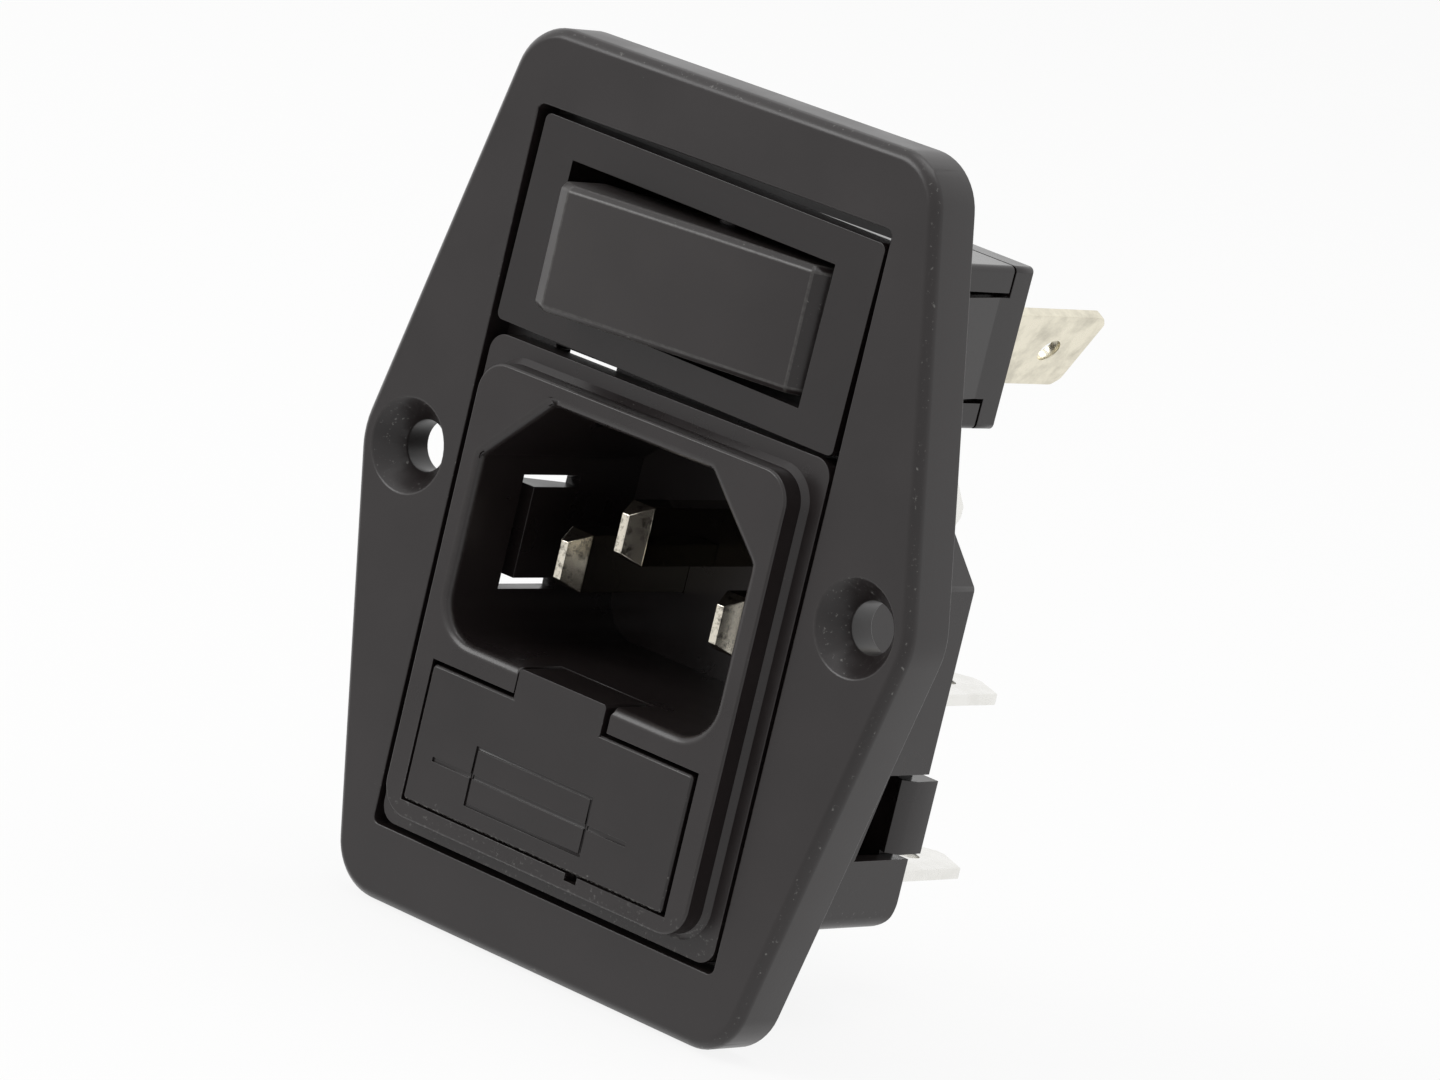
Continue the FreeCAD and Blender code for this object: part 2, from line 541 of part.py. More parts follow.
def rocker():
    """Paddle with a dished face, bevelled edges, stub pivots and a hollow post for the plunger."""
    face = PIVOT_Y - ROCKER_HEIGHT
    shoulder = face + ROCKER_END_BEVEL
    half = [(3.4, PIVOT_Y + ROCKER_KEEL, 0.8), (ROCKER_HALF_X - 0.8, PIVOT_Y - ROCKER_END, 0.6),
            (ROCKER_HALF_X, shoulder, 0), (ROCKER_FACE_X, face, 0)]
    profile = half + [(-x, y, r) for x, y, r in half[::-1]]
    low = ROCKER_Z - ROCKER_HALF_Z
    high = ROCKER_Z + ROCKER_HALF_Z
    paddle = along_z(profile, low, high)
    dish_r = (ROCKER_FACE_X ** 2 + ROCKER_DISH ** 2) / (2 * ROCKER_DISH)
    dish = Part.makeCylinder(dish_r, high - low + 2, Vec(0, face + ROCKER_DISH - dish_r, low - 1))
    paddle = paddle.cut(dish)
    for z in (low, high):
        in_front = lambda p: abs(p.z - z) < TINY and p.y < shoulder + TINY
        paddle = bevel_edges(paddle, ROCKER_SIDE_BEVEL, in_front)
    pivot_end = SWITCH_HALF_Z - 0.1
    pivots = Part.makeCylinder(PIVOT_R, 2 * pivot_end, Vec(0, PIVOT_Y, SWITCH_Z - pivot_end))
    post = cylinder_y(POST_R, PIVOT_Y, PIVOT_Y + POST_END, 0, ROCKER_Z)
    whole = paddle.fuse([pivots, post]).removeSplitter()
    bore = cylinder_y(BORE_R, PIVOT_Y + BORE_END, PIVOT_Y + POST_END + 1, 0, ROCKER_Z)
    return tilt_rocker(whole.cut(bore))


def plunger():
    """Blunt-nosed plunger with a spigot for the spring."""
    nose_r = BORE_R - 0.05
    tip = PIVOT_Y + PLUNGER_TIP
    back = tip - 4.2
    profile = [(0, back - 1.2), (0.6, back - 1.2), (0.6, back), (nose_r, back), (nose_r, tip - 0.8),
               (0.5, tip), (0, tip), (0, back - 1.2)]
    outline = Part.makePolygon([Vec(r, y, 0) for r, y in profile])
    body = Part.Face(outline).revolve(Vec(0, 0, 0), Vec(0, 1, 0), 360)
    return tilt_rocker(body.translated(Vec(0, 0, ROCKER_Z)))


def plunger_spring():
    """Coil spring between the post's blind end and the plunger's shoulder."""
    wire_r = 0.15
    turns = 3
    start = PIVOT_Y + BORE_END + wire_r + 0.05
    end = PIVOT_Y + PLUNGER_TIP - 4.2 - wire_r - 0.05
    coil_r = 0.95
    helix = Part.makeLongHelix((end - start) / turns, end - start, coil_r)
    around = [math.radians(90 * step) for step in range(5)]
    section = Part.makePolygon([Vec(coil_r + wire_r * math.cos(a), 0, wire_r * math.sin(a)) for a in around])
    coil = Part.Wire(helix).makePipeShell([section], True, True)
    coil.rotate(Vec(0, 0, 0), Vec(1, 0, 0), -90)
    return tilt_rocker(coil.translated(Vec(0, start, ROCKER_Z)))


def tilt_lever(shape):
    """Turn a shape from the lever's level position to its rest position in the seated switch."""
    return seat_switch(shape.rotated(Vec(0, LEVER_Y + LEVER_THICK, SWITCH_Z), Vec(0, 0, 1), -LEVER_TILT))


def contact_lever():
    """See-saw strip with a groove that sits on the common terminal's edge."""
    rear = LEVER_Y + LEVER_THICK
    profile = [(-LEVER_HALF_X, LEVER_Y, 0.3), (LEVER_HALF_X, LEVER_Y, 0.3), (LEVER_HALF_X, rear, 0.3),
               (1.1, rear, 0), (0.5, rear - 0.35, 0), (-0.5, rear - 0.35, 0), (-1.1, rear, 0),
               (-LEVER_HALF_X, rear, 0.3)]
    lever = along_z(profile, SWITCH_Z - LEVER_HALF_Z, SWITCH_Z + LEVER_HALF_Z)
    return tilt_lever(lever.cut(cylinder_y(0.6, LEVER_Y - 1, rear + 1, CONTACT_X, SWITCH_Z)))


def rivet(face, direction, shank_r, shank):
    """Contact rivet: a domed head on one side of a plate and a shank through it."""
    dome_r = 3.0
    head = cylinder_y(CONTACT_R, 0, 0.7, CONTACT_X, SWITCH_Z)
    dome = Part.makeSphere(dome_r, Vec(CONTACT_X, 0.7 - dome_r, SWITCH_Z))
    whole = head.common(dome).fuse(cylinder_y(shank_r, -shank, 0, CONTACT_X, SWITCH_Z)).removeSplitter()
    if direction < 0:
        whole = whole.mirror(Vec(0, 0, 0), Vec(0, 1, 0))
    return whole.translated(Vec(0, face, 0))


def moving_contact():
    """Rivet on the lever's right end."""
    return tilt_lever(rivet(LEVER_Y + LEVER_THICK, 1, 0.58, LEVER_THICK))


def closed_gap_face():
    """Depth of the fixed contact's seat that leaves it just clear of the closed moving contact."""
    reach = math.radians(LEVER_TILT)
    return LEVER_Y + LEVER_THICK + CONTACT_X * math.sin(reach) + 2 * 0.7 + 0.15


def fixed_contact():
    """Rivet on the contact terminal."""
    return seat_switch(rivet(closed_gap_face(), -1, 0.58, TAB_THICK))


def faceted_solid(rings):
    """Solid through a row of four-cornered rings, with every twisted side split into flat triangles."""
    faces = [Part.Face(Part.makePolygon(ring + ring[:1])) for ring in (rings[0], rings[-1])]
    for near, far in zip(rings, rings[1:]):
        for i in range(4):
            j = (i + 1) % 4
            for corners in ((near[i], near[j], far[j]), (near[i], far[j], far[i])):
                faces.append(Part.Face(Part.makePolygon(list(corners) + [corners[0]])))
    return Part.Solid(Part.Shell(faces))


def twisted_tab(x, z):
    """Tab that leaves the base upright, turns about its own middle line and ends with broken corners."""
    steps = 4
    twist_end = SWITCH_REAR + 2.6
    rings = []
    for step in range(steps + 1):
        share = step / steps
        half_wide = (TERMINAL_WIDE + (TAB_WIDE - TERMINAL_WIDE) * share) / 2
        turn = FreeCAD.Rotation(Vec(0, 1, 0), SWITCH_TAB_TWIST * share)
        middle = Vec(x, SWITCH_REAR + (twist_end - SWITCH_REAR) * share, z)
        corners = rectangle(-TAB_THICK / 2, TAB_THICK / 2, -half_wide, half_wide)
        rings.append([middle + turn.multVec(Vec(u, 0, v)) for u, v, r in corners])
    half = TAB_WIDE / 2
    shoulder = SWITCH_TAB_TIP - SWITCH_TAB_TRIM
    side = half - SWITCH_TAB_TRIM
    outline = [(twist_end, z - half, 0), (shoulder, z - half, 0.5), (SWITCH_TAB_TIP, z - side, 0.5),
               (SWITCH_TAB_TIP, z + side, 0.5), (shoulder, z + half, 0.5), (twist_end, z + half, 0)]
    flat = along_x(outline, x - TAB_THICK / 2, x + TAB_THICK / 2)
    hole = Part.makeCylinder(TAB_HOLE_R, 2, Vec(x - 1, SWITCH_TAB_TIP - TAB_HOLE_SETBACK, z), Vec(1, 0, 0))
    flat = flat.cut(hole)
    flat.rotate(Vec(x, 0, z), Vec(0, 1, 0), SWITCH_TAB_TWIST)
    return faceted_solid(rings).fuse(flat)


def common_terminal():
    """Upright blade whose front edge carries the lever, with its tab."""
    edge = LEVER_Y + LEVER_THICK - 0.2
    half = TAB_THICK / 2
    stem = along_z([(-half, SWITCH_REAR, 0), (-half, edge + 0.3, 0), (-0.1, edge, 0), (0.1, edge, 0),
                    (half, edge + 0.3, 0), (half, SWITCH_REAR, 0)],
                   SWITCH_Z - TERMINAL_WIDE / 2, SWITCH_Z + TERMINAL_WIDE / 2)
    return seat_switch(stem.fuse(twisted_tab(0, SWITCH_Z)).removeSplitter())


def contact_terminal():
    """Strip folded under the fixed contact, with its tab."""
    seat = closed_gap_face() + TAB_THICK / 2
    path = [(CONTACT_X - 1.6, seat, 0), (CONTACT_TAB_X, seat, 0.8), (CONTACT_TAB_X, SWITCH_REAR, 0)]
    strip = along_z(strip_corners(path, TAB_THICK), CONTACT_TAB_Z - TERMINAL_WIDE / 2,
                    CONTACT_TAB_Z + TERMINAL_WIDE / 2)
    strip = strip.cut(cylinder_y(0.6, seat - 1, seat + 1, CONTACT_X, SWITCH_Z))
    return seat_switch(strip.fuse(twisted_tab(CONTACT_TAB_X, CONTACT_TAB_Z)).removeSplitter())


def main():
    """Build every piece and write one file for each."""
    os.makedirs("parts", exist_ok=True)
    pieces = {
        "flange_frame": flange_frame(),
        "inlet_housing": inlet_housing(),
        "inlet_rear_cover": inlet_rear_cover(),
        "left_pin": power_pin(-PIN_X),
        "right_pin": power_pin(PIN_X),
        "earth_pin": earth_pin(),
        "right_terminal": right_terminal(),
        "left_fuse_contact": left_fuse_contact(),
        "right_fuse_contact": right_fuse_contact(),
        "fuse_drawer": fuse_drawer(),
        "fuse_tube": fuse_tube(),
        "fuse_end_caps": fuse_end_caps(),
        "fuse_wire": fuse_wire(),
        "switch_housing": switch_housing(),
        "switch_base": switch_base(),
        "rocker": rocker(),
        "plunger": plunger(),
        "plunger_spring": plunger_spring(),
        "contact_lever": contact_lever(),
        "moving_contact": moving_contact(),
        "fixed_contact": fixed_contact(),
        "common_terminal": common_terminal(),
        "contact_terminal": contact_terminal(),
    }
    for name, shape in pieces.items():
        shape.exportStep("parts/" + name + ".step")


main()
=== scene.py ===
"""Looks of a panel power inlet: a screw flange that holds a fused inlet and a rocker switch.

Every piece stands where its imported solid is, in metres: +X right as seen from the front, +Z up,
the front faces -Y.
"""

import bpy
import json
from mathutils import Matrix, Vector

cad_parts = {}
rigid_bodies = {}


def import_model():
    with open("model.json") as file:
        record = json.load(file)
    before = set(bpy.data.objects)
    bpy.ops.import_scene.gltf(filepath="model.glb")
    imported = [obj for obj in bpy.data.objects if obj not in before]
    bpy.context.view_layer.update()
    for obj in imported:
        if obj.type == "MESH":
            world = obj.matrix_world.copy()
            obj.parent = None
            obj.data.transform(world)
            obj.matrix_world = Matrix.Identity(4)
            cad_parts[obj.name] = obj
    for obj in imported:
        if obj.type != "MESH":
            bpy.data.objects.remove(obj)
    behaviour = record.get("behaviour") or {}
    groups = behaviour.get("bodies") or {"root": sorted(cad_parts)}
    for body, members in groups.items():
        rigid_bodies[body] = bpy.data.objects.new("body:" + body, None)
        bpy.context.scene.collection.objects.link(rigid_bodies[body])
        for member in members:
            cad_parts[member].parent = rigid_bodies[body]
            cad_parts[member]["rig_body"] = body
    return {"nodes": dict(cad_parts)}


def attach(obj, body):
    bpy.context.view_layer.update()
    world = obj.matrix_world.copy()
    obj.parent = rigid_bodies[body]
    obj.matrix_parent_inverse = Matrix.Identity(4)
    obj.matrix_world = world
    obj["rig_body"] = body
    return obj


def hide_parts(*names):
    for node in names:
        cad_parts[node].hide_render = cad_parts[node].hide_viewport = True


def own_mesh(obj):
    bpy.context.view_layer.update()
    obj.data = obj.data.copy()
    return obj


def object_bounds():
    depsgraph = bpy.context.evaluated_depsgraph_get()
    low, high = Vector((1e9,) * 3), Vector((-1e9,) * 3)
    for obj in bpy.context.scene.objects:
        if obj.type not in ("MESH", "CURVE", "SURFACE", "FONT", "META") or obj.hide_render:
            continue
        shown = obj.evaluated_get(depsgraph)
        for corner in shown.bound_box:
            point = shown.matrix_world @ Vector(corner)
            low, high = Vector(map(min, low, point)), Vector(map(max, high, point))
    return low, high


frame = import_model()
CAD_BOX = [list(corner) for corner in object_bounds()]

import json
import math
from functools import partial

import bmesh
import bpy
from mathutils import Matrix, Vector

bl_info = {
    "name": "Panel power inlet",
    "version": (1, 0, 0),
    "blender": (4, 5, 0),
    "location": "3D View > Sidebar > Inlet",
    "description": "Finishes a fused panel inlet with a rocker switch and sets its stage",
    "category": "Object",
}

MM = 0.001

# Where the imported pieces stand
SWITCH_Z = 17.05 * MM
SWITCH_SKEW = math.radians(1.1)
PIVOT_Y = -0.79 * MM
ROCKER_Z = 16.8 * MM
ROCKER_TILT = math.radians(10.4)
DRAWER_FACE = -5.8 * MM
SYMBOL_X = -1.3 * MM
SYMBOL_Z = -18.65 * MM
SCUFFED_FOOT = -20.8 * MM
MOUTH_LOW = (-12.5 * MM, -5.9 * MM, -10.95 * MM)
MOUTH_HIGH = (12.5 * MM, -5.3 * MM, 7.0 * MM)

# Glass fuse
FUSE_Y = 5.35 * MM
FUSE_Z = -17.6 * MM
FUSE_HALF = 10.0 * MM
FUSE_RADIUS = 2.6 * MM
FUSE_WIRE = 0.15 * MM
GLASS_WALL = 0.5 * MM
CAP_LENGTH = 5.0 * MM
CAP_WALL = 0.3 * MM
CAP_ROUND = 0.35 * MM
CAP_LIP = 0.08 * MM

# Plunger and its spring, in the rocker's own frame
PLUNGER_TIP = 5.67 * MM
PLUNGER_LENGTH = 4.2 * MM
PLUNGER_RADIUS = 1.25 * MM
PLUNGER_EDGE = 0.05 * MM
NOSE_LENGTH = 0.8 * MM
TAIL_LENGTH = 1.2 * MM
TAIL_RADIUS = 0.6 * MM
SPRING_START = -2.1 * MM
SPRING_CLEARANCE = 0.2 * MM

# Twisted tabs of the switch
TAB_PLACES = {
    "common_terminal": Vector((0, 0, SWITCH_Z)),
    "contact_terminal": Vector((9.6 * MM, 0, 16.3 * MM)),
}
TAB_WIDTH = 6.3 * MM
TAB_THICK = 0.8 * MM
NECK_WIDTH = 5.2 * MM
TURN_START = 14.4 * MM
TURN_END = 17.0 * MM
TURN_ANGLE = math.radians(28)
TURN_ROWS = 14
TURN_COLUMNS = 10

# Least angle between two faces whose edge is rounded or sharp
CREASE = math.radians(35)
PIN_CREASE = math.radians(12)
ROCKER_CREASE = math.radians(20)

# Limits below which two faces count as one and two points as one
FLAT_ANGLE = math.radians(0.6)
SAME_POINT = 1e-6

# Camera and lights
CAMERA_PLACE = Vector((0.29864, -0.36721, 0.09182))
CAMERA_AHEAD = Vector((-0.6138, 0.7664, -0.1894)).normalized()
CAMERA_RIGHT = Vector((0.7314, 0.6423, 0.2292)).normalized()
PICTURE_WIDTH = 36.0
KEY_PLACE = Vector((-0.4, -0.6, 0.45))
KEY_SIZE = 0.5
TOP_PLACE = Vector((0.05, 0.1, 0.8))
TOP_SIZE = 0.6
FLOOR_HALF = 4.0
WHITE = (1, 1, 1, 1)

# Numbers of a Mix node's colour sockets, whose names its other sockets have too
COLOUR_A = 6
COLOUR_B = 7
COLOUR_OUT = 2


# Settings

def linear(code):
    """Linear red, green and blue of an sRGB hex colour."""
    parts = [int(code[i:i + 2], 16) / 255 for i in (1, 3, 5)]
    return [c / 12.92 if c <= 0.04045 else ((c + 0.055) / 1.055) ** 2.4 for c in parts]


def length(name, size, description):
    """Length property with its default given in millimetres."""
    return bpy.props.FloatProperty(name=name, description=description, default=size * MM, min=0.0,
                                   precision=5, unit="LENGTH")


def colour(name, code, description):
    """Colour property with its default given as an sRGB hex value."""
    return bpy.props.FloatVectorProperty(name=name, description=description, default=linear(code),
                                         size=3, min=0.0, max=1.0, subtype="COLOR")


class InletSizes(bpy.types.PropertyGroup):
    """Sizes of edges, fuse symbol and spring"""
    moulded_edge: length("Moulded edge", 0.1, "Radius of the flange's edges")
    crisp_edge: length("Crisp edge", 0.04, "Radius of the edges of the other mouldings")
    mouth_edge: length("Mouth edge", 0.22, "Radius of the edges round the inlet's mouth")
    sheared_edge: length("Sheared edge", 0.06, "Radius that the press leaves on a strip's edges")
    rocker_edge: length("Rocker edge", 0.12, "Radius of the rocker's edges")
    symbol_line: length("Symbol line", 17.6, "Length of the line through the fuse symbol")
    symbol_box: length("Symbol box", 10.4, "Length of the fuse symbol's box")
    symbol_height: length("Symbol height", 3.9, "Height of the fuse symbol's box")
    symbol_stroke: length("Symbol stroke", 0.3, "Width of the fuse symbol's grooves")
    symbol_depth: length("Symbol depth", 0.16, "Depth of the fuse symbol's grooves")
    spring_radius: length("Spring radius", 0.95, "Radius of the spring at its wire's middle")
    spring_wire: length("Spring wire", 0.15, "Radius of the plunger spring's wire")


class InletColours(bpy.types.PropertyGroup):
    """Colours of the materials"""
    flange: colour("Flange", "#1F1A1A", "Black polyamide of the flange")
    inlet: colour("Inlet", "#211C1C", "Black polyamide of the inlet")
    drawer: colour("Drawer", "#1C1717", "Black polyamide of the fuse drawer")
    switch: colour("Switch", "#1C1717", "Black polyamide of the switch and the rear cover")
    rocker: colour("Rocker", "#211C1C", "Black polyamide of the rocker")
    scuff: colour("Scuff", "#8D8C89", "Pale grey of rubbed plastic")
    tin: colour("Tin", "#EEEDE9", "Tin plate of the inlet's tabs")
    dull_tin: colour("Dull tin", "#D8D6D0", "Blotches in the tin plate")
    dipped_tin: colour("Dipped tin", "#E9E3D0", "Dipped tin of the switch's tabs")
    dull_dipped_tin: colour("Dull dipped tin", "#B4AFA1", "Blotches in the dipped tin")
    nickel: colour("Nickel", "#D2CFC6", "Nickel plate of the fuse caps")
    dull_nickel: colour("Dull nickel", "#B0AA9B", "Blotches in the nickel plate")
    # The pins' plate is painted darker than nickel, as painted shade for the recess, and their
    # milled tips paler, as painted light; the tips are also rougher
    pin: colour("Pin", "#8F8A80", "Nickel plate of the pins, gone dull")
    milled: colour("Milled tip", "#EFE8D8", "Dull plate on the milled tips of the pins")
    brass: colour("Brass", "#C9A45A", "Rolled brass of the lever")
    dull_brass: colour("Dull brass", "#8E6F36", "Blotches in the brass")
    silver: colour("Silver", "#DEDCD6", "Silver of the contacts and the fuse wire")
    dull_silver: colour("Dull silver", "#A9A6A0", "Blotches in the contact silver")
    dull_wire: colour("Dull wire", "#B5B2AA", "Blotches in the fuse wire's silver")
    steel: colour("Steel", "#A8A9AB", "Drawn spring steel")
    dull_steel: colour("Dull steel", "#7E7F82", "Blotches in the spring steel")
    acetal: colour("Acetal", "#E4E1D6", "Natural acetal of the plunger")
    glass: colour("Glass", "#FAFDFC", "Clear glass of the fuse tube")


class InletStage(bpy.types.PropertyGroup):
    """Floor, light and lens"""
    card: colour("Floor", "#F4F4F3", "White card of the floor")
    floor_gap: length("Floor gap", 0.2, "Gap between the lowest point and the floor")
    tent_light: bpy.props.FloatProperty(
        name="Tent light", description="Brightness of the tent all round", default=0.55, min=0.0)
    key_light: bpy.props.FloatProperty(
        name="Key light", description="Power of the large light at front left", default=3.0,
        min=0.0, unit="POWER")
    top_light: bpy.props.FloatProperty(
        name="Top light", description="Power of the light above", default=2.0, min=0.0,
        unit="POWER")
    lens: bpy.props.FloatProperty(
        name="Lens", description="Focal length for a 36 mm wide picture", default=184.7, min=1.0,
        unit="CAMERA")


# Materials

def add_node(tree, kind, inputs=None, **settings):
    """Add a node, set its settings, and fill its inputs with values or with links from outputs."""
    node = tree.nodes.new(kind)
    for name, value in settings.items():
        setattr(node, name, value)
    for name, value in (inputs or {}).items():
        if isinstance(value, bpy.types.NodeSocket):
            tree.links.new(value, node.inputs[name])
        else:
            node.inputs[name].default_value = value
    return node


def opaque(shade, level=1.0):
    """Colour with full alpha, made darker or lighter by a level."""
    return [c * level for c in shade] + [1]


def empty_material(name):
    """New material with an empty node tree."""
    material = bpy.data.materials.new(name)
    material.use_nodes = True
    material.node_tree.nodes.clear()
    return material


def moulded_plastic(name, base, scuff, roughness, grain, wear, rub=0.03, film=0.0, foot=-1.0):
    """Polyamide moulded in a spark-eroded tool.

    To the eye it is nearly black and takes its grey from the white around it, brighter at a slant,
    with a fine even grain, faint clouds in its gloss, a dusty speck here and there, pale rubbed
    edges and flecks below the height of its scuffed foot. On the rocker a film of painted light
    makes the colour paler towards the end that stands out, at its left.
    The grain is drawn at twice its real width, because at its own width it would not show.
    """
    material = empty_material(name)
    tree = material.node_tree
    place = add_node(tree, "ShaderNodeTexCoord")
    point = place.outputs["Object"]
    cloud = add_node(tree, "ShaderNodeTexNoise", {
        "Vector": point, "Scale": 1 / (6 * MM), "Detail": 4.0})
    grit = add_node(tree, "ShaderNodeTexNoise", {
        "Vector": point, "Scale": 1 / grain, "Detail": 2.0})
    flecks = add_node(tree, "ShaderNodeTexNoise", {
        "Vector": point, "Scale": 1 / (0.3 * MM), "Detail": 4.0, "Roughness": 0.6})
    # Flecks are rare on faces that look forward or sideways, and less so on slants and at the foot
    normal = add_node(tree, "ShaderNodeSeparateXYZ", {"Vector": place.outputs["Normal"]})
    facing = add_node(tree, "ShaderNodeMath", {
        0: normal.outputs["Y"], 1: normal.outputs["Y"]}, operation="MULTIPLY")
    turned = add_node(tree, "ShaderNodeMath", {
        0: 1.0, 1: facing.outputs[0]}, operation="SUBTRACT")
    slant = add_node(tree, "ShaderNodeMath", {
        0: facing.outputs[0], 1: turned.outputs[0]}, operation="MULTIPLY")
    rare = add_node(tree, "ShaderNodeMapRange", {
        "Value": slant.outputs[0], "From Min": 0.05, "From Max": 0.2,
        "To Min": 0.76, "To Max": 0.74 - 0.25 * wear})
    along = add_node(tree, "ShaderNodeSeparateXYZ", {"Vector": point})
    low = add_node(tree, "ShaderNodeMapRange", {
        "Value": along.outputs["Z"], "From Min": foot, "From Max": foot - 1.2 * MM,
        "To Min": 0.0, "To Max": 0.15})
    first = add_node(tree, "ShaderNodeMath", {
        0: rare.outputs[0], 1: low.outputs[0]}, operation="SUBTRACT")
    full = add_node(tree, "ShaderNodeMath", {0: first.outputs[0], 1: 0.08}, operation="ADD")
    marks = add_node(tree, "ShaderNodeMapRange", {
        "Value": flecks.outputs["Fac"], "From Min": first.outputs[0], "From Max": full.outputs[0],
        "To Min": 0.0, "To Max": wear})
    # Painted light: on the rocker the colour grows paler towards its left end, by the film's share
    painted_light_at_left = add_node(tree, "ShaderNodeMapRange", {
        "Value": along.outputs["X"], "From Min": -9 * MM, "From Max": 11 * MM,
        "To Min": film, "To Max": 0.0})
    # The rubbed line along an edge is broken up by the flecks
    edge = add_node(tree, "ShaderNodeAttribute", attribute_name="rubbed")
    line = add_node(tree, "ShaderNodeMath", {
        0: edge.outputs["Fac"], 1: rub}, operation="MULTIPLY")
    broken = add_node(tree, "ShaderNodeMapRange", {
        "Value": flecks.outputs["Fac"], "From Min": 0.35, "From Max": 0.6,
        "To Min": 0.4, "To Max": 1.0})
    worn = add_node(tree, "ShaderNodeMath", {
        0: line.outputs[0], 1: broken.outputs[0]}, operation="MULTIPLY")
    pale = add_node(tree, "ShaderNodeMath", {
        0: marks.outputs[0], 1: worn.outputs[0]}, operation="MAXIMUM")
    palest = add_node(tree, "ShaderNodeMath", {
        0: pale.outputs[0], 1: painted_light_at_left.outputs[0]}, operation="MAXIMUM")
    tone = add_node(tree, "ShaderNodeMix", {
        "Factor": cloud.outputs["Fac"], COLOUR_A: opaque(base, 0.8),
        COLOUR_B: opaque(base, 1.2)}, data_type="RGBA")
    skin = add_node(tree, "ShaderNodeMix", {
        "Factor": palest.outputs[0], COLOUR_A: tone.outputs[COLOUR_OUT],
        COLOUR_B: opaque(scuff)}, data_type="RGBA")
    sheen = add_node(tree, "ShaderNodeMapRange", {
        "Value": cloud.outputs["Fac"], "From Min": 0.3, "From Max": 0.7,
        "To Min": roughness - 0.05, "To Max": roughness + 0.05})
    bump = add_node(tree, "ShaderNodeBump", {
        "Height": grit.outputs["Fac"], "Strength": 0.3, "Distance": 0.012 * MM})
    shader = add_node(tree, "ShaderNodeBsdfPrincipled", {
        "Base Color": skin.outputs[COLOUR_OUT], "Roughness": sheen.outputs[0], "IOR": 1.53,
        "Normal": bump.outputs[0]})
    add_node(tree, "ShaderNodeOutputMaterial", {"Surface": shader.outputs[0]})
    return material


def plated_strip(name, plate, dull, roughness, blotch, cover):
    """Metal strip that was rolled, cut in a press and then plated.

    To the eye it is bright, with fine lines along the rolling direction and duller blotches in the
    plating.
    The rolling lines are drawn at about four times their real width, so that they show.
    """
    material = empty_material(name)
    tree = material.node_tree
    point = add_node(tree, "ShaderNodeTexCoord").outputs["Object"]
    rolled = add_node(tree, "ShaderNodeMapping", {
        "Vector": point, "Scale": (1 / (0.12 * MM), 1 / (4 * MM), 1 / (0.12 * MM))})
    lines = add_node(tree, "ShaderNodeTexNoise", {
        "Vector": rolled.outputs[0], "Scale": 1.0, "Detail": 3.0})
    blotches = add_node(tree, "ShaderNodeTexNoise", {
        "Vector": point, "Scale": 1 / blotch, "Detail": 5.0, "Roughness": 0.65})
    patch = add_node(tree, "ShaderNodeMapRange", {
        "Value": blotches.outputs["Fac"], "From Min": 0.45, "From Max": 0.68,
        "To Min": 0.0, "To Max": cover})
    tone = add_node(tree, "ShaderNodeMix", {
        "Factor": patch.outputs[0], COLOUR_A: opaque(plate), COLOUR_B: opaque(dull)},
        data_type="RGBA")
    gloss = add_node(tree, "ShaderNodeMapRange", {
        "Value": blotches.outputs["Fac"], "From Min": 0.3, "From Max": 0.7,
        "To Min": roughness - 0.06, "To Max": roughness + 0.1})
    bump = add_node(tree, "ShaderNodeBump", {
        "Height": lines.outputs["Fac"], "Strength": 0.1, "Distance": 0.004 * MM})
    shader = add_node(tree, "ShaderNodeBsdfPrincipled", {
        "Base Color": tone.outputs[COLOUR_OUT], "Metallic": 1.0, "Roughness": gloss.outputs[0],
        "Normal": bump.outputs[0]})
    add_node(tree, "ShaderNodeOutputMaterial", {"Surface": shader.outputs[0]})
    return material


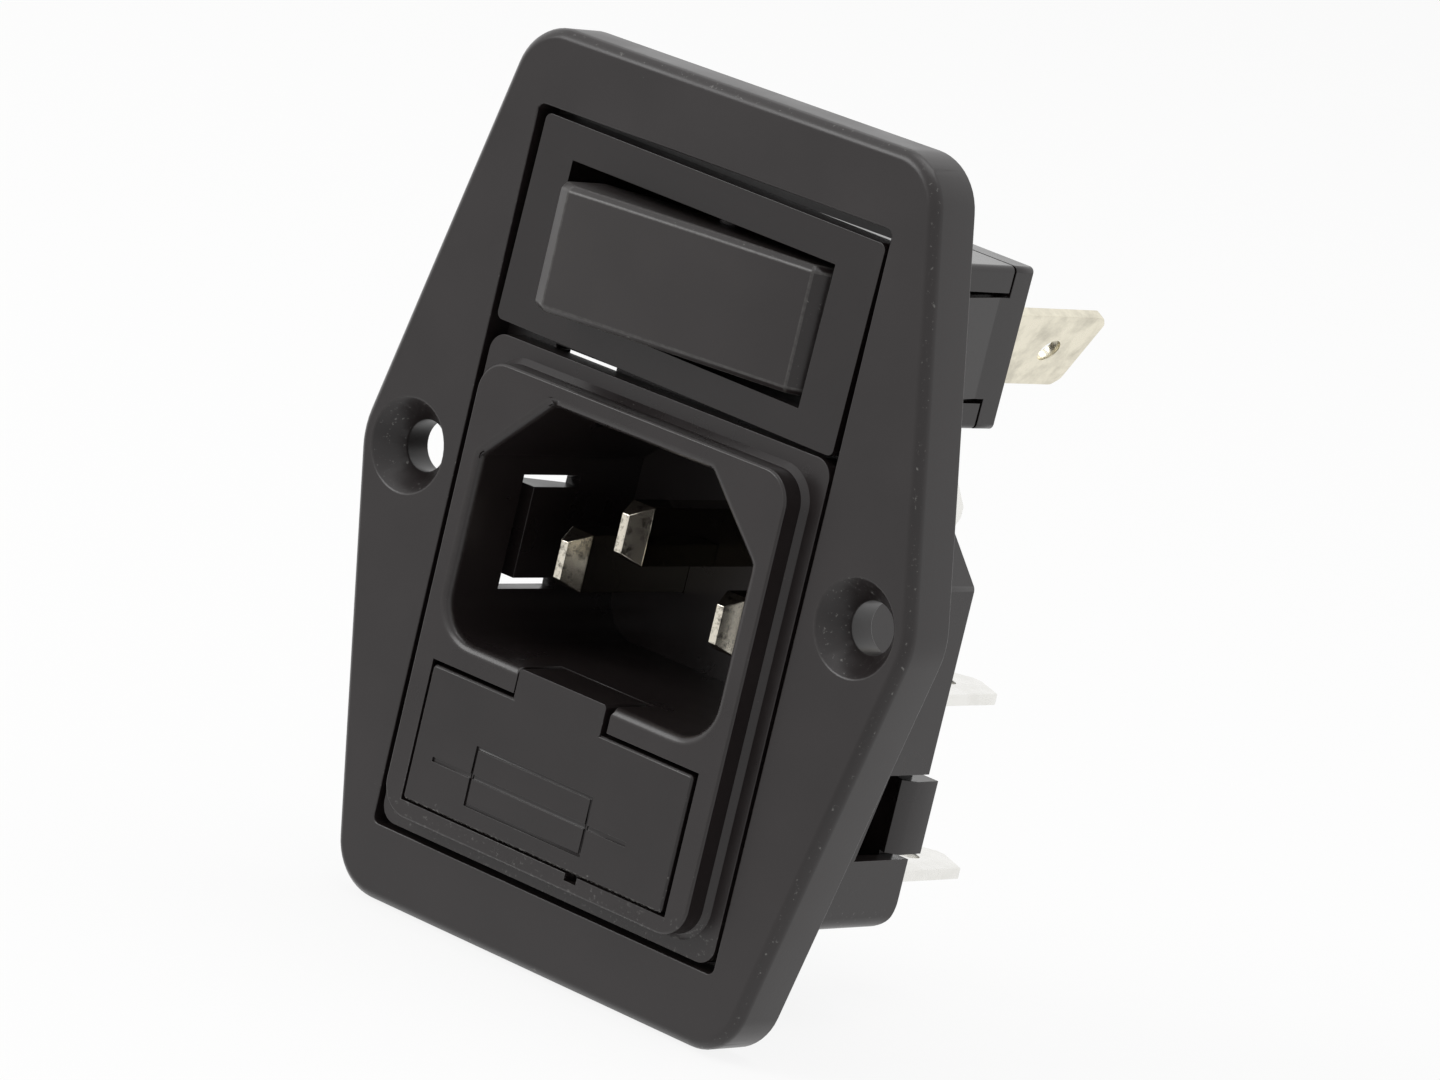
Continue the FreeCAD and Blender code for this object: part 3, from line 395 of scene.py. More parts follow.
def plated_pin(name, plate, tip, tab, roughness):
    """Brass pin milled to a bevelled tip and plated with nickel.

    To the eye its flat sides mirror the dark recess and are painted darker than nickel, as painted
    shade; the milled bevels at its tip are rougher and painted pale and warm, as painted light,
    with darker blotches and pits; and the tab at its other end is as bright as the other tabs.
    """
    material = empty_material(name)
    tree = material.node_tree
    place = add_node(tree, "ShaderNodeTexCoord")
    point = place.outputs["Object"]
    normal = add_node(tree, "ShaderNodeSeparateXYZ", {"Vector": place.outputs["Normal"]})
    milled = add_node(tree, "ShaderNodeMapRange", {
        "Value": normal.outputs["Y"], "From Min": -0.15, "From Max": -0.3,
        "To Min": 0.0, "To Max": 1.0})
    cloud = add_node(tree, "ShaderNodeTexNoise", {
        "Vector": point, "Scale": 1 / (0.8 * MM), "Detail": 4.0})
    pits = add_node(tree, "ShaderNodeTexNoise", {
        "Vector": point, "Scale": 1 / (0.6 * MM), "Detail": 5.0, "Roughness": 0.7})
    pitted = add_node(tree, "ShaderNodeMapRange", {
        "Value": pits.outputs["Fac"], "From Min": 0.5, "From Max": 0.68,
        "To Min": 0.0, "To Max": 0.85})
    face = add_node(tree, "ShaderNodeMix", {
        "Factor": pitted.outputs[0], COLOUR_A: opaque(tip), COLOUR_B: opaque(tip, 0.12)},
        data_type="RGBA")
    # Painted light and shade: the milled bevels, which face forward, take the pale tip colour and
    # the sides the dark plate colour
    painted_tip_and_side = add_node(tree, "ShaderNodeMix", {
        "Factor": milled.outputs[0], COLOUR_A: opaque(plate), COLOUR_B: face.outputs[COLOUR_OUT]},
        data_type="RGBA")
    depth = add_node(tree, "ShaderNodeSeparateXYZ", {"Vector": point})
    behind = add_node(tree, "ShaderNodeMapRange", {
        "Value": depth.outputs["Y"], "From Min": 15 * MM, "From Max": 17 * MM,
        "To Min": 0.0, "To Max": 1.0})
    tone = add_node(tree, "ShaderNodeMix", {
        "Factor": behind.outputs[0], COLOUR_A: painted_tip_and_side.outputs[COLOUR_OUT], COLOUR_B: opaque(tab)},
        data_type="RGBA")
    blade_gloss = add_node(tree, "ShaderNodeMapRange", {
        "Value": milled.outputs[0], "To Min": roughness, "To Max": 0.2})
    gloss = add_node(tree, "ShaderNodeMapRange", {
        "Value": behind.outputs[0], "To Min": blade_gloss.outputs[0], "To Max": 0.26})
    bump = add_node(tree, "ShaderNodeBump", {
        "Height": cloud.outputs["Fac"], "Strength": 0.1, "Distance": 0.006 * MM})
    shader = add_node(tree, "ShaderNodeBsdfPrincipled", {
        "Base Color": tone.outputs[COLOUR_OUT], "Metallic": 1.0, "Roughness": gloss.outputs[0],
        "Normal": bump.outputs[0]})
    add_node(tree, "ShaderNodeOutputMaterial", {"Surface": shader.outputs[0]})
    return material


def drawn_glass(name, base):
    """Soda-lime glass drawn as a tube.

    To the eye it is clear and smooth, with a faint film that dulls its gloss in streaks.
    """
    material = empty_material(name)
    tree = material.node_tree
    point = add_node(tree, "ShaderNodeTexCoord").outputs["Object"]
    film = add_node(tree, "ShaderNodeTexNoise", {
        "Vector": point, "Scale": 1 / (2 * MM), "Detail": 3.0})
    gloss = add_node(tree, "ShaderNodeMapRange", {
        "Value": film.outputs["Fac"], "From Min": 0.35, "From Max": 0.75,
        "To Min": 0.01, "To Max": 0.12})
    shader = add_node(tree, "ShaderNodeBsdfPrincipled", {
        "Base Color": opaque(base), "Roughness": gloss.outputs[0], "IOR": 1.52,
        "Transmission Weight": 1.0})
    add_node(tree, "ShaderNodeOutputMaterial", {"Surface": shader.outputs[0]})
    return material


def natural_acetal(name, base):
    """Acetal turned from natural rod.

    To the eye it is milky white, a little see-through at its edges, with fine turning marks.
    """
    material = empty_material(name)
    tree = material.node_tree
    point = add_node(tree, "ShaderNodeTexCoord").outputs["Object"]
    marks = add_node(tree, "ShaderNodeTexNoise", {
        "Vector": point, "Scale": 1 / (0.25 * MM), "Detail": 2.0})
    tone = add_node(tree, "ShaderNodeMix", {
        "Factor": marks.outputs["Fac"], COLOUR_A: opaque(base, 0.92), COLOUR_B: opaque(base)},
        data_type="RGBA")
    bump = add_node(tree, "ShaderNodeBump", {
        "Height": marks.outputs["Fac"], "Strength": 0.2, "Distance": 0.01 * MM})
    shader = add_node(tree, "ShaderNodeBsdfPrincipled", {
        "Base Color": tone.outputs[COLOUR_OUT], "Roughness": 0.4, "IOR": 1.48,
        "Subsurface Weight": 0.15, "Subsurface Scale": 0.4 * MM, "Normal": bump.outputs[0]})
    add_node(tree, "ShaderNodeOutputMaterial", {"Surface": shader.outputs[0]})
    return material


# Making pieces

def show(name, mesh):
    """Put a mesh into the scene as an object at the origin."""
    piece = bpy.data.objects.new(name, mesh)
    bpy.context.scene.collection.objects.link(piece)
    return piece


def flatten(piece):
    """Turn a piece with modifiers into a plain mesh."""
    bpy.context.view_layer.update()
    graph = bpy.context.evaluated_depsgraph_get()
    mesh = bpy.data.meshes.new_from_object(piece.evaluated_get(graph))
    if not mesh.polygons:
        raise RuntimeError(piece.name + " came out empty")
    mesh.name = piece.name
    piece.modifiers.clear()
    piece.data = mesh
    return piece


def dress(piece, material, node):
    """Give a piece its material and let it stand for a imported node, on that node's body."""
    piece.data.materials.clear()
    piece.data.materials.append(material)
    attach(piece, frame["nodes"][node]["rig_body"])
    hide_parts(node)


def write_smooth(work, mesh):
    """Write an edit mesh into a mesh, shaded smooth."""
    for face in work.faces:
        face.smooth = True
    work.to_mesh(mesh)
    work.free()
    return mesh


def merged_copy(node, name):
    """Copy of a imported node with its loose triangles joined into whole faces."""
    source = frame["nodes"][node].data
    work = bmesh.new()
    points = [work.verts.new(vertex.co) for vertex in source.vertices]
    for face in source.polygons:
        work.faces.new([points[i] for i in face.vertices])
    bmesh.ops.remove_doubles(work, verts=work.verts, dist=SAME_POINT)
    bmesh.ops.dissolve_degenerate(work, edges=work.edges, dist=SAME_POINT)
    bmesh.ops.dissolve_limit(work, angle_limit=FLAT_ANGLE, verts=work.verts, edges=work.edges)
    return show(name, write_smooth(work, bpy.data.meshes.new(name)))


def everywhere(point):
    """Share of the largest edge radius: all of it at every point."""
    return 1.0


def mark_edges(mesh, crease, share):
    """Where a mesh's edges turn by more than the crease, mark the outer ones with their share of
    the largest radius and the inner ones as sharp."""
    work = bmesh.new()
    work.from_mesh(mesh)
    weight = work.edges.layers.float.new("bevel_weight_edge")
    for edge in work.edges:
        if len(edge.link_faces) == 2 and edge.calc_face_angle() > crease:
            middle = (edge.verts[0].co + edge.verts[1].co) / 2
            edge[weight] = share(middle) if edge.is_convex else 0.0
            edge.smooth = edge[weight] > 0
    work.to_mesh(mesh)
    work.free()


def rounded_copy(node, name, radius, crease=CREASE, cutter=None, share=everywhere, change=None):
    """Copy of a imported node, changed by a function or with a cutter's shape sunk into it if there
    is one, and its outer edges rounded and noted as rubbed."""
    piece = merged_copy(node, name)
    if change:
        change(piece.data)
    if cutter:
        groove = piece.modifiers.new("Groove", "BOOLEAN")
        groove.operation = "DIFFERENCE"
        groove.solver = "EXACT"
        groove.use_self = True
        groove.object = cutter
        flatten(piece)
        bpy.data.objects.remove(cutter)
    mark_edges(piece.data, crease, share)
    # Two empty slots, so that the bevel can tell its own faces from the rest by the second
    piece.data.materials.append(None)
    piece.data.materials.append(None)
    bevel = piece.modifiers.new("Edge radius", "BEVEL")
    bevel.material = 1
    bevel.width = radius
    bevel.segments = 2
    bevel.limit_method = "WEIGHT"
    bevel.use_clamp_overlap = False
    weighted = piece.modifiers.new("Flat faces stay flat", "WEIGHTED_NORMAL")
    weighted.keep_sharp = True
    flatten(piece)
    faces = piece.data.polygons
    rubbed = piece.data.attributes.new("rubbed", "FLOAT", "FACE")
    rubbed.data.foreach_set("value", [float(face.material_index) for face in faces])
    faces.foreach_set("material_index", [0] * len(faces))
    return piece


def join_rings(work, rings):
    """Lay faces between neighbouring rings of points; a ring of one point is a pole."""
    for near, far in zip(rings, rings[1:]):
        steps = max(len(near), len(far))
        for i in range(steps):
            j = (i + 1) % steps
            corners = (near[i % len(near)], near[j % len(near)],
                       far[j % len(far)], far[i % len(far)])
            work.faces.new(list(dict.fromkeys(corners)))


def lathe(work, profile, steps, place):
    """Turn a (radius, along) profile round the local Y axis; a radius of zero makes a pole."""
    rings = []
    for radius, along in profile:
        turns = [2 * math.pi * i / steps for i in range(steps if radius > 0 else 1)]
        rings.append([work.verts.new(place @ Vector((radius * math.cos(a), along,
                                                     radius * math.sin(a)))) for a in turns])
    join_rings(work, rings)


def turned_piece(name, profiles, steps):
    """Piece of turned shapes, each a (profile, place) pair."""
    work = bmesh.new()
    for profile, place in profiles:
        lathe(work, profile, steps, place)
    bmesh.ops.remove_doubles(work, verts=work.verts, dist=SAME_POINT)
    bmesh.ops.recalc_face_normals(work, faces=work.faces)
    for edge in work.edges:
        if len(edge.link_faces) == 2 and edge.calc_face_angle() > CREASE:
            edge.smooth = False
    return show(name, write_smooth(work, bpy.data.meshes.new(name)))


def quarter_turn(steps):
    """Angles from zero to a right angle in even steps."""
    return [math.pi / 2 * i / steps for i in range(steps + 1)]


def group_socket(tree, name, default):
    """Named length input of a node group."""
    socket = tree.interface.new_socket(name, in_out="INPUT", socket_type="NodeSocketFloat")
    socket.default_value = default
    return socket


def node_group(name, inputs):
    """Geometry node group with named length inputs; returns the group, the sockets that bring
    them in and their identifiers."""
    tree = bpy.data.node_groups.new(name, "GeometryNodeTree")
    tree.interface.new_socket("Geometry", in_out="INPUT", socket_type="NodeSocketGeometry")
    tree.interface.new_socket("Geometry", in_out="OUTPUT", socket_type="NodeSocketGeometry")
    identifiers = {key: group_socket(tree, key, value).identifier for key, value in inputs.items()}
    return tree, add_node(tree, "NodeGroupInput").outputs, identifiers


def grown_piece(name, tree, identifiers, inputs, geometry, material):
    """End a node group, run it on a new object with its inputs set, and keep the result as a
    plain mesh."""
    real = add_node(tree, "GeometryNodeRealizeInstances", {"Geometry": geometry})
    painted = add_node(tree, "GeometryNodeSetMaterial", {
        "Geometry": real.outputs[0], "Material": material})
    add_node(tree, "NodeGroupOutput", {"Geometry": painted.outputs[0]})
    piece = show(name, bpy.data.meshes.new(name))
    modifier = piece.modifiers.new(name, "NODES")
    modifier.node_group = tree
    for key, value in inputs.items():
        modifier[identifiers[key]] = value
    return flatten(piece)


def coil_spring(name, radius, wire, run, place, material):
    """Coil spring along local Y from its near end, with round wire."""
    inputs = {"Coil radius": radius, "Wire radius": wire, "Run": run}
    tree, given, identifiers = node_group("Coil spring", inputs)
    helix = add_node(tree, "GeometryNodeCurveSpiral", {
        "Resolution": 28, "Rotations": 3.0, "Start Radius": given["Coil radius"],
        "End Radius": given["Coil radius"], "Height": given["Run"]})
    section = add_node(tree, "GeometryNodeCurvePrimitiveCircle", {
        "Resolution": 10, "Radius": given["Wire radius"]})
    wound = add_node(tree, "GeometryNodeCurveToMesh", {
        "Curve": helix.outputs[0], "Profile Curve": section.outputs[0], "Fill Caps": True})
    piece = grown_piece(name, tree, identifiers, inputs, wound.outputs[0], material)
    piece.data.transform(place @ Matrix.Rotation(-math.pi / 2, 4, "X"))
    return piece


def symbol_cutter(name, sizes, place, material):
    """Box with a line through it, flat in local X and Y, to sink into a face by its depth."""
    inputs = {"Line": sizes.symbol_line, "Box": sizes.symbol_box, "Height": sizes.symbol_height,
              "Stroke": sizes.symbol_stroke, "Depth": sizes.symbol_depth}
    tree, given, identifiers = node_group("Fuse symbol", inputs)
    half = add_node(tree, "ShaderNodeMath", {0: given["Line"], 1: 0.5}, operation="MULTIPLY")
    back = add_node(tree, "ShaderNodeMath", {0: given["Line"], 1: -0.5}, operation="MULTIPLY")
    # The line lies a hair above the box, so that no two faces of the cutter share a plane
    start = add_node(tree, "ShaderNodeCombineXYZ", {"X": back.outputs[0], "Z": 0.01 * MM})
    end = add_node(tree, "ShaderNodeCombineXYZ", {"X": half.outputs[0], "Z": 0.01 * MM})
    line = add_node(tree, "GeometryNodeCurvePrimitiveLine", {
        "Start": start.outputs[0], "End": end.outputs[0]})
    box = add_node(tree, "GeometryNodeCurvePrimitiveQuadrilateral", {
        "Width": given["Box"], "Height": given["Height"]})
    strokes = add_node(tree, "GeometryNodeJoinGeometry")
    tree.links.new(line.outputs[0], strokes.inputs[0])
    tree.links.new(box.outputs[0], strokes.inputs[0])
    upright = add_node(tree, "GeometryNodeSetCurveNormal", {"Curve": strokes.outputs[0]},
                       mode="Z_UP")
    tall = add_node(tree, "ShaderNodeMath", {0: given["Depth"], 1: 2.0}, operation="MULTIPLY")
    section = add_node(tree, "GeometryNodeCurvePrimitiveQuadrilateral", {
        "Width": given["Stroke"], "Height": tall.outputs[0]})
    bar = add_node(tree, "GeometryNodeCurveToMesh", {
        "Curve": upright.outputs[0], "Profile Curve": section.outputs[0], "Fill Caps": True})
    piece = grown_piece(name, tree, identifiers, inputs, bar.outputs[0], material)
    piece.data.transform(place)
    return piece


# Steps

class BuildFlange(bpy.types.Operator):
    """Finish the hexagonal screw flange"""
    bl_idname = "inlet.build_flange"
    bl_label = "Flange"

    def execute(self, context):
        sizes = context.scene.inlet_sizes
        colours = context.scene.inlet_colours
        plastic = moulded_plastic("spark_textured_polyamide_flange", colours.flange, colours.scuff,
                                  roughness=0.34, grain=0.22 * MM, wear=0.46)
        piece = rounded_copy("flange_frame", "flange_moulding", sizes.moulded_edge)
        dress(piece, plastic, "flange_frame")
        return {"FINISHED"}


class BuildInlet(bpy.types.Operator):
    """Finish the inlet's housing and rear cover"""
    bl_idname = "inlet.build_inlet"
    bl_label = "Inlet housing and cover"

    def execute(self, context):
        sizes = context.scene.inlet_sizes
        colours = context.scene.inlet_colours
        plastic = moulded_plastic("fine_moulded_polyamide_inlet", colours.inlet, colours.scuff,
                                  roughness=0.3, grain=0.18 * MM, wear=0.25, foot=SCUFFED_FOOT)
        share = partial(self.mouth_share, sizes.crisp_edge / sizes.mouth_edge)
        piece = rounded_copy("inlet_housing", "inlet_moulding", sizes.mouth_edge, share=share)
        dress(piece, plastic, "inlet_housing")
        plastic = moulded_plastic("fine_moulded_polyamide_cover", colours.switch, colours.scuff,
                                  roughness=0.3, grain=0.18 * MM, wear=0.2)
        piece = rounded_copy("inlet_rear_cover", "inlet_cover_moulding", sizes.crisp_edge)
        dress(piece, plastic, "inlet_rear_cover")
        return {"FINISHED"}

    def mouth_share(self, small, point):
        """Share of the mouth's edge radius: all of it round the mouth, a small one elsewhere."""
        ranges = zip(MOUTH_LOW, point, MOUTH_HIGH)
        return 1.0 if all(low < value < high for low, value, high in ranges) else small


class BuildMetals(bpy.types.Operator):
    """Finish the inlet's pins, tabs and fuse contacts"""
    bl_idname = "inlet.build_metals"
    bl_label = "Pins, tabs and fuse contacts"

    def execute(self, context):
        sizes = context.scene.inlet_sizes
        colours = context.scene.inlet_colours
        nickel = plated_pin("nickel_plated_brass_pin", colours.pin, colours.milled, colours.tin,
                            roughness=0.05)
        for node in ("left_pin", "right_pin", "earth_pin"):
            piece = rounded_copy(node, node + "_plated", sizes.sheared_edge, PIN_CREASE)
            dress(piece, nickel, node)
        tin = plated_strip("bright_tinned_brass_tab", colours.tin, colours.dull_tin,
                           roughness=0.24, blotch=2.4 * MM, cover=0.3)
        for node in ("right_terminal", "left_fuse_contact", "right_fuse_contact"):
            dress(rounded_copy(node, node + "_plated", sizes.sheared_edge), tin, node)
        return {"FINISHED"}


class BuildDrawer(bpy.types.Operator):
    """Finish the fuse drawer and sink the fuse symbol into its face"""
    bl_idname = "inlet.build_drawer"
    bl_label = "Fuse drawer"

    def execute(self, context):
        sizes = context.scene.inlet_sizes
        colours = context.scene.inlet_colours
        plastic = moulded_plastic("fine_moulded_polyamide_drawer", colours.drawer, colours.scuff,
                                  roughness=0.34, grain=0.18 * MM, wear=0.5, foot=SCUFFED_FOOT)
        place = (Matrix.Translation((SYMBOL_X, DRAWER_FACE, SYMBOL_Z))
                 @ Matrix.Rotation(math.pi / 2, 4, "X"))
        cutter = symbol_cutter("fuse_symbol_cutter", sizes, place, plastic)
        piece = rounded_copy("fuse_drawer", "drawer_moulding", sizes.crisp_edge, cutter=cutter)
        dress(piece, plastic, "fuse_drawer")
        return {"FINISHED"}


class BuildFuse(bpy.types.Operator):
    """Make the glass fuse: tube, end caps and wire"""
    bl_idname = "inlet.build_fuse"
    bl_label = "Glass fuse"

    def execute(self, context):
        colours = context.scene.inlet_colours
        along = Matrix.Translation((0, FUSE_Y, FUSE_Z)) @ Matrix.Rotation(-math.pi / 2, 4, "Z")
        end = FUSE_HALF - CAP_WALL
        seat = FUSE_RADIUS - CAP_WALL
        bore = seat - GLASS_WALL
        tube = [(seat, -end), (seat, end), (bore, end), (bore, -end), (seat, -end)]
        piece = turned_piece("fuse_glass_tube", [(tube, along)], steps=48)
        glass = drawn_glass("drawn_soda_lime_glass", colours.glass)
        dress(piece, glass, "fuse_tube")
        bend = [(FUSE_RADIUS - CAP_ROUND + CAP_ROUND * math.sin(a),
                 FUSE_HALF - CAP_ROUND + CAP_ROUND * math.cos(a)) for a in quarter_turn(5)]
        lip = FUSE_HALF - CAP_LENGTH
        cup = [(0, FUSE_HALF), *bend, (FUSE_RADIUS, lip + CAP_LIP), (FUSE_RADIUS - CAP_LIP, lip),
               (seat, lip), (seat, end), (0, end)]
        other = along @ Matrix.Rotation(math.pi, 4, "X")
        piece = turned_piece("fuse_drawn_caps", [(cup, along), (cup, other)], steps=48)
        nickel = plated_strip("nickel_plated_drawn_cap", colours.nickel, colours.dull_nickel,
                              roughness=0.2, blotch=1.5 * MM, cover=0.4)
        dress(piece, nickel, "fuse_end_caps")
        wire = [(0, -end), (FUSE_WIRE, -end), (FUSE_WIRE, end), (0, end)]
        piece = turned_piece("fuse_drawn_wire", [(wire, along)], steps=12)
        silver = plated_strip("silvered_fuse_wire", colours.silver, colours.dull_wire,
                              roughness=0.25, blotch=0.8 * MM, cover=0.4)
        dress(piece, silver, "fuse_wire")
        return {"FINISHED"}


class BuildSwitch(bpy.types.Operator):
    """Finish the switch's housing, base and tabs"""
    bl_idname = "inlet.build_switch"
    bl_label = "Switch housing, base and tabs"

    def execute(self, context):
        sizes = context.scene.inlet_sizes
        colours = context.scene.inlet_colours
        plastic = moulded_plastic("fine_moulded_polyamide_switch", colours.switch, colours.scuff,
                                  roughness=0.18, grain=0.18 * MM, wear=0.25)
        piece = rounded_copy("switch_housing", "switch_moulding", sizes.crisp_edge)
        dress(piece, plastic, "switch_housing")
        plastic = moulded_plastic("fine_moulded_polyamide_base", colours.switch, colours.scuff,
                                  roughness=0.22, grain=0.18 * MM, wear=0.2)
        piece = rounded_copy("switch_base", "switch_base_moulding", sizes.crisp_edge)
        dress(piece, plastic, "switch_base")
        tin = plated_strip("dipped_tin_brass_tab", colours.dipped_tin, colours.dull_dipped_tin,
                           roughness=0.3, blotch=2.2 * MM, cover=0.6)
        for node, middle in TAB_PLACES.items():
            piece = rounded_copy(node, node + "_tinned", sizes.sheared_edge,
                                 share=self.tab_share, change=partial(self.smooth_turn, middle))
            dress(piece, tin, node)
        return {"FINISHED"}

    def tab_share(self, point):
        """Share of the sheared edge radius: none where the turn meets the flats of a tab."""
        gap = min(abs(point.y - end) for end in (TURN_START, TURN_END))
        return 0.0 if gap < 0.01 * MM else 1.0

    def smooth_turn(self, middle, mesh):
        """Put a finely divided turn in place of the flat-faced one between a tab's two ends."""
        work = bmesh.new()
        work.from_mesh(mesh)
        old = [face for face in work.faces if TURN_START < face.calc_center_median().y < TURN_END]
        bmesh.ops.delete(work, geom=old, context="FACES")
        wide = [edge for edge in work.edges
                if edge.is_boundary and edge.calc_length() > 2 * TAB_THICK]
        bmesh.ops.bisect_edges(work, edges=wide, cuts=TURN_COLUMNS - 1)
        askew = (Matrix.Translation((0, 0, SWITCH_Z)) @ Matrix.Rotation(SWITCH_SKEW, 4, "Y")
                 @ Matrix.Translation((0, 0, -SWITCH_Z)))
        side = TAB_THICK / 2
        rings = []
        for row in range(TURN_ROWS + 1):
            share = row / TURN_ROWS
            along = Vector((0, TURN_START + (TURN_END - TURN_START) * share, 0))
            half = (NECK_WIDTH + (TAB_WIDTH - NECK_WIDTH) * share) / 2
            # The turn starts and stops gently
            eased = TURN_ANGLE * share * share * (3 - 2 * share)
            turn = askew @ Matrix.Translation(middle + along) @ Matrix.Rotation(eased, 4, "Y")
            across = [half * (2 * i / TURN_COLUMNS - 1) for i in range(TURN_COLUMNS + 1)]
            outline = [(-side, 0, up) for up in across] + [(side, 0, up) for up in across[::-1]]
            rings.append([work.verts.new(turn @ Vector(corner)) for corner in outline])
        join_rings(work, rings)
        bmesh.ops.remove_doubles(work, verts=work.verts, dist=SAME_POINT)
        bmesh.ops.recalc_face_normals(work, faces=work.faces)
        write_smooth(work, mesh)


class BuildRocker(bpy.types.Operator):
    """Finish the rocker"""
    bl_idname = "inlet.build_rocker"
    bl_label = "Rocker"

    def execute(self, context):
        sizes = context.scene.inlet_sizes
        colours = context.scene.inlet_colours
        # Its film is painted light that makes the rocker paler towards its left end
        plastic = moulded_plastic("satin_moulded_polyamide_rocker", colours.rocker, colours.scuff,
                                  roughness=0.33, grain=0.2 * MM, wear=0.35, rub=0.16, film=0.045)
        piece = rounded_copy("rocker", "rocker_moulding", sizes.rocker_edge, ROCKER_CREASE)
        dress(piece, plastic, "rocker")
        return {"FINISHED"}


class BuildSwitchWorks(bpy.types.Operator):
    """Make the sprung plunger and finish the contact lever with its contacts"""
    bl_idname = "inlet.build_switch_works"
    bl_label = "Plunger, spring and contacts"

    def execute(self, context):
        sizes = context.scene.inlet_sizes
        colours = context.scene.inlet_colours
        place = (Matrix.Translation((0, PIVOT_Y, ROCKER_Z))
                 @ Matrix.Rotation(ROCKER_TILT, 4, "Z"))
        shoulder = PLUNGER_TIP - PLUNGER_LENGTH
        tail = shoulder - TAIL_LENGTH
        nose = [(PLUNGER_RADIUS * math.cos(a),
                 PLUNGER_TIP - NOSE_LENGTH + NOSE_LENGTH * math.sin(a))
                for a in quarter_turn(6)[:-1]]
        profile = [(0, tail), (TAIL_RADIUS - PLUNGER_EDGE, tail),
                   (TAIL_RADIUS, tail + 2 * PLUNGER_EDGE), (TAIL_RADIUS, shoulder),
                   (PLUNGER_RADIUS - PLUNGER_EDGE, shoulder),
                   (PLUNGER_RADIUS, shoulder + PLUNGER_EDGE), *nose, (0, PLUNGER_TIP)]
        piece = turned_piece("plunger_turned", [(profile, place)], steps=32)
        acetal = natural_acetal("turned_natural_acetal", colours.acetal)
        dress(piece, acetal, "plunger")
        steel = plated_strip("drawn_spring_steel", colours.steel, colours.dull_steel,
                             roughness=0.28, blotch=0.6 * MM, cover=0.5)
        run = shoulder - SPRING_CLEARANCE - SPRING_START
        seat = place @ Matrix.Translation((0, SPRING_START, 0))
        piece = coil_spring("plunger_coil_spring", sizes.spring_radius, sizes.spring_wire, run,
                            seat, steel)
        dress(piece, steel, "plunger_spring")
        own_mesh(piece)
        brass = plated_strip("rolled_brass_lever", colours.brass, colours.dull_brass,
                             roughness=0.3, blotch=1.4 * MM, cover=0.5)
        piece = rounded_copy("contact_lever", "contact_lever_rolled", sizes.sheared_edge)
        dress(piece, brass, "contact_lever")
        silver = plated_strip("headed_contact_silver", colours.silver, colours.dull_silver,
                              roughness=0.22, blotch=0.5 * MM, cover=0.5)
        for node in ("moving_contact", "fixed_contact"):
            piece = rounded_copy(node, node + "_headed", sizes.sheared_edge)
            dress(piece, silver, node)
        return {"FINISHED"}


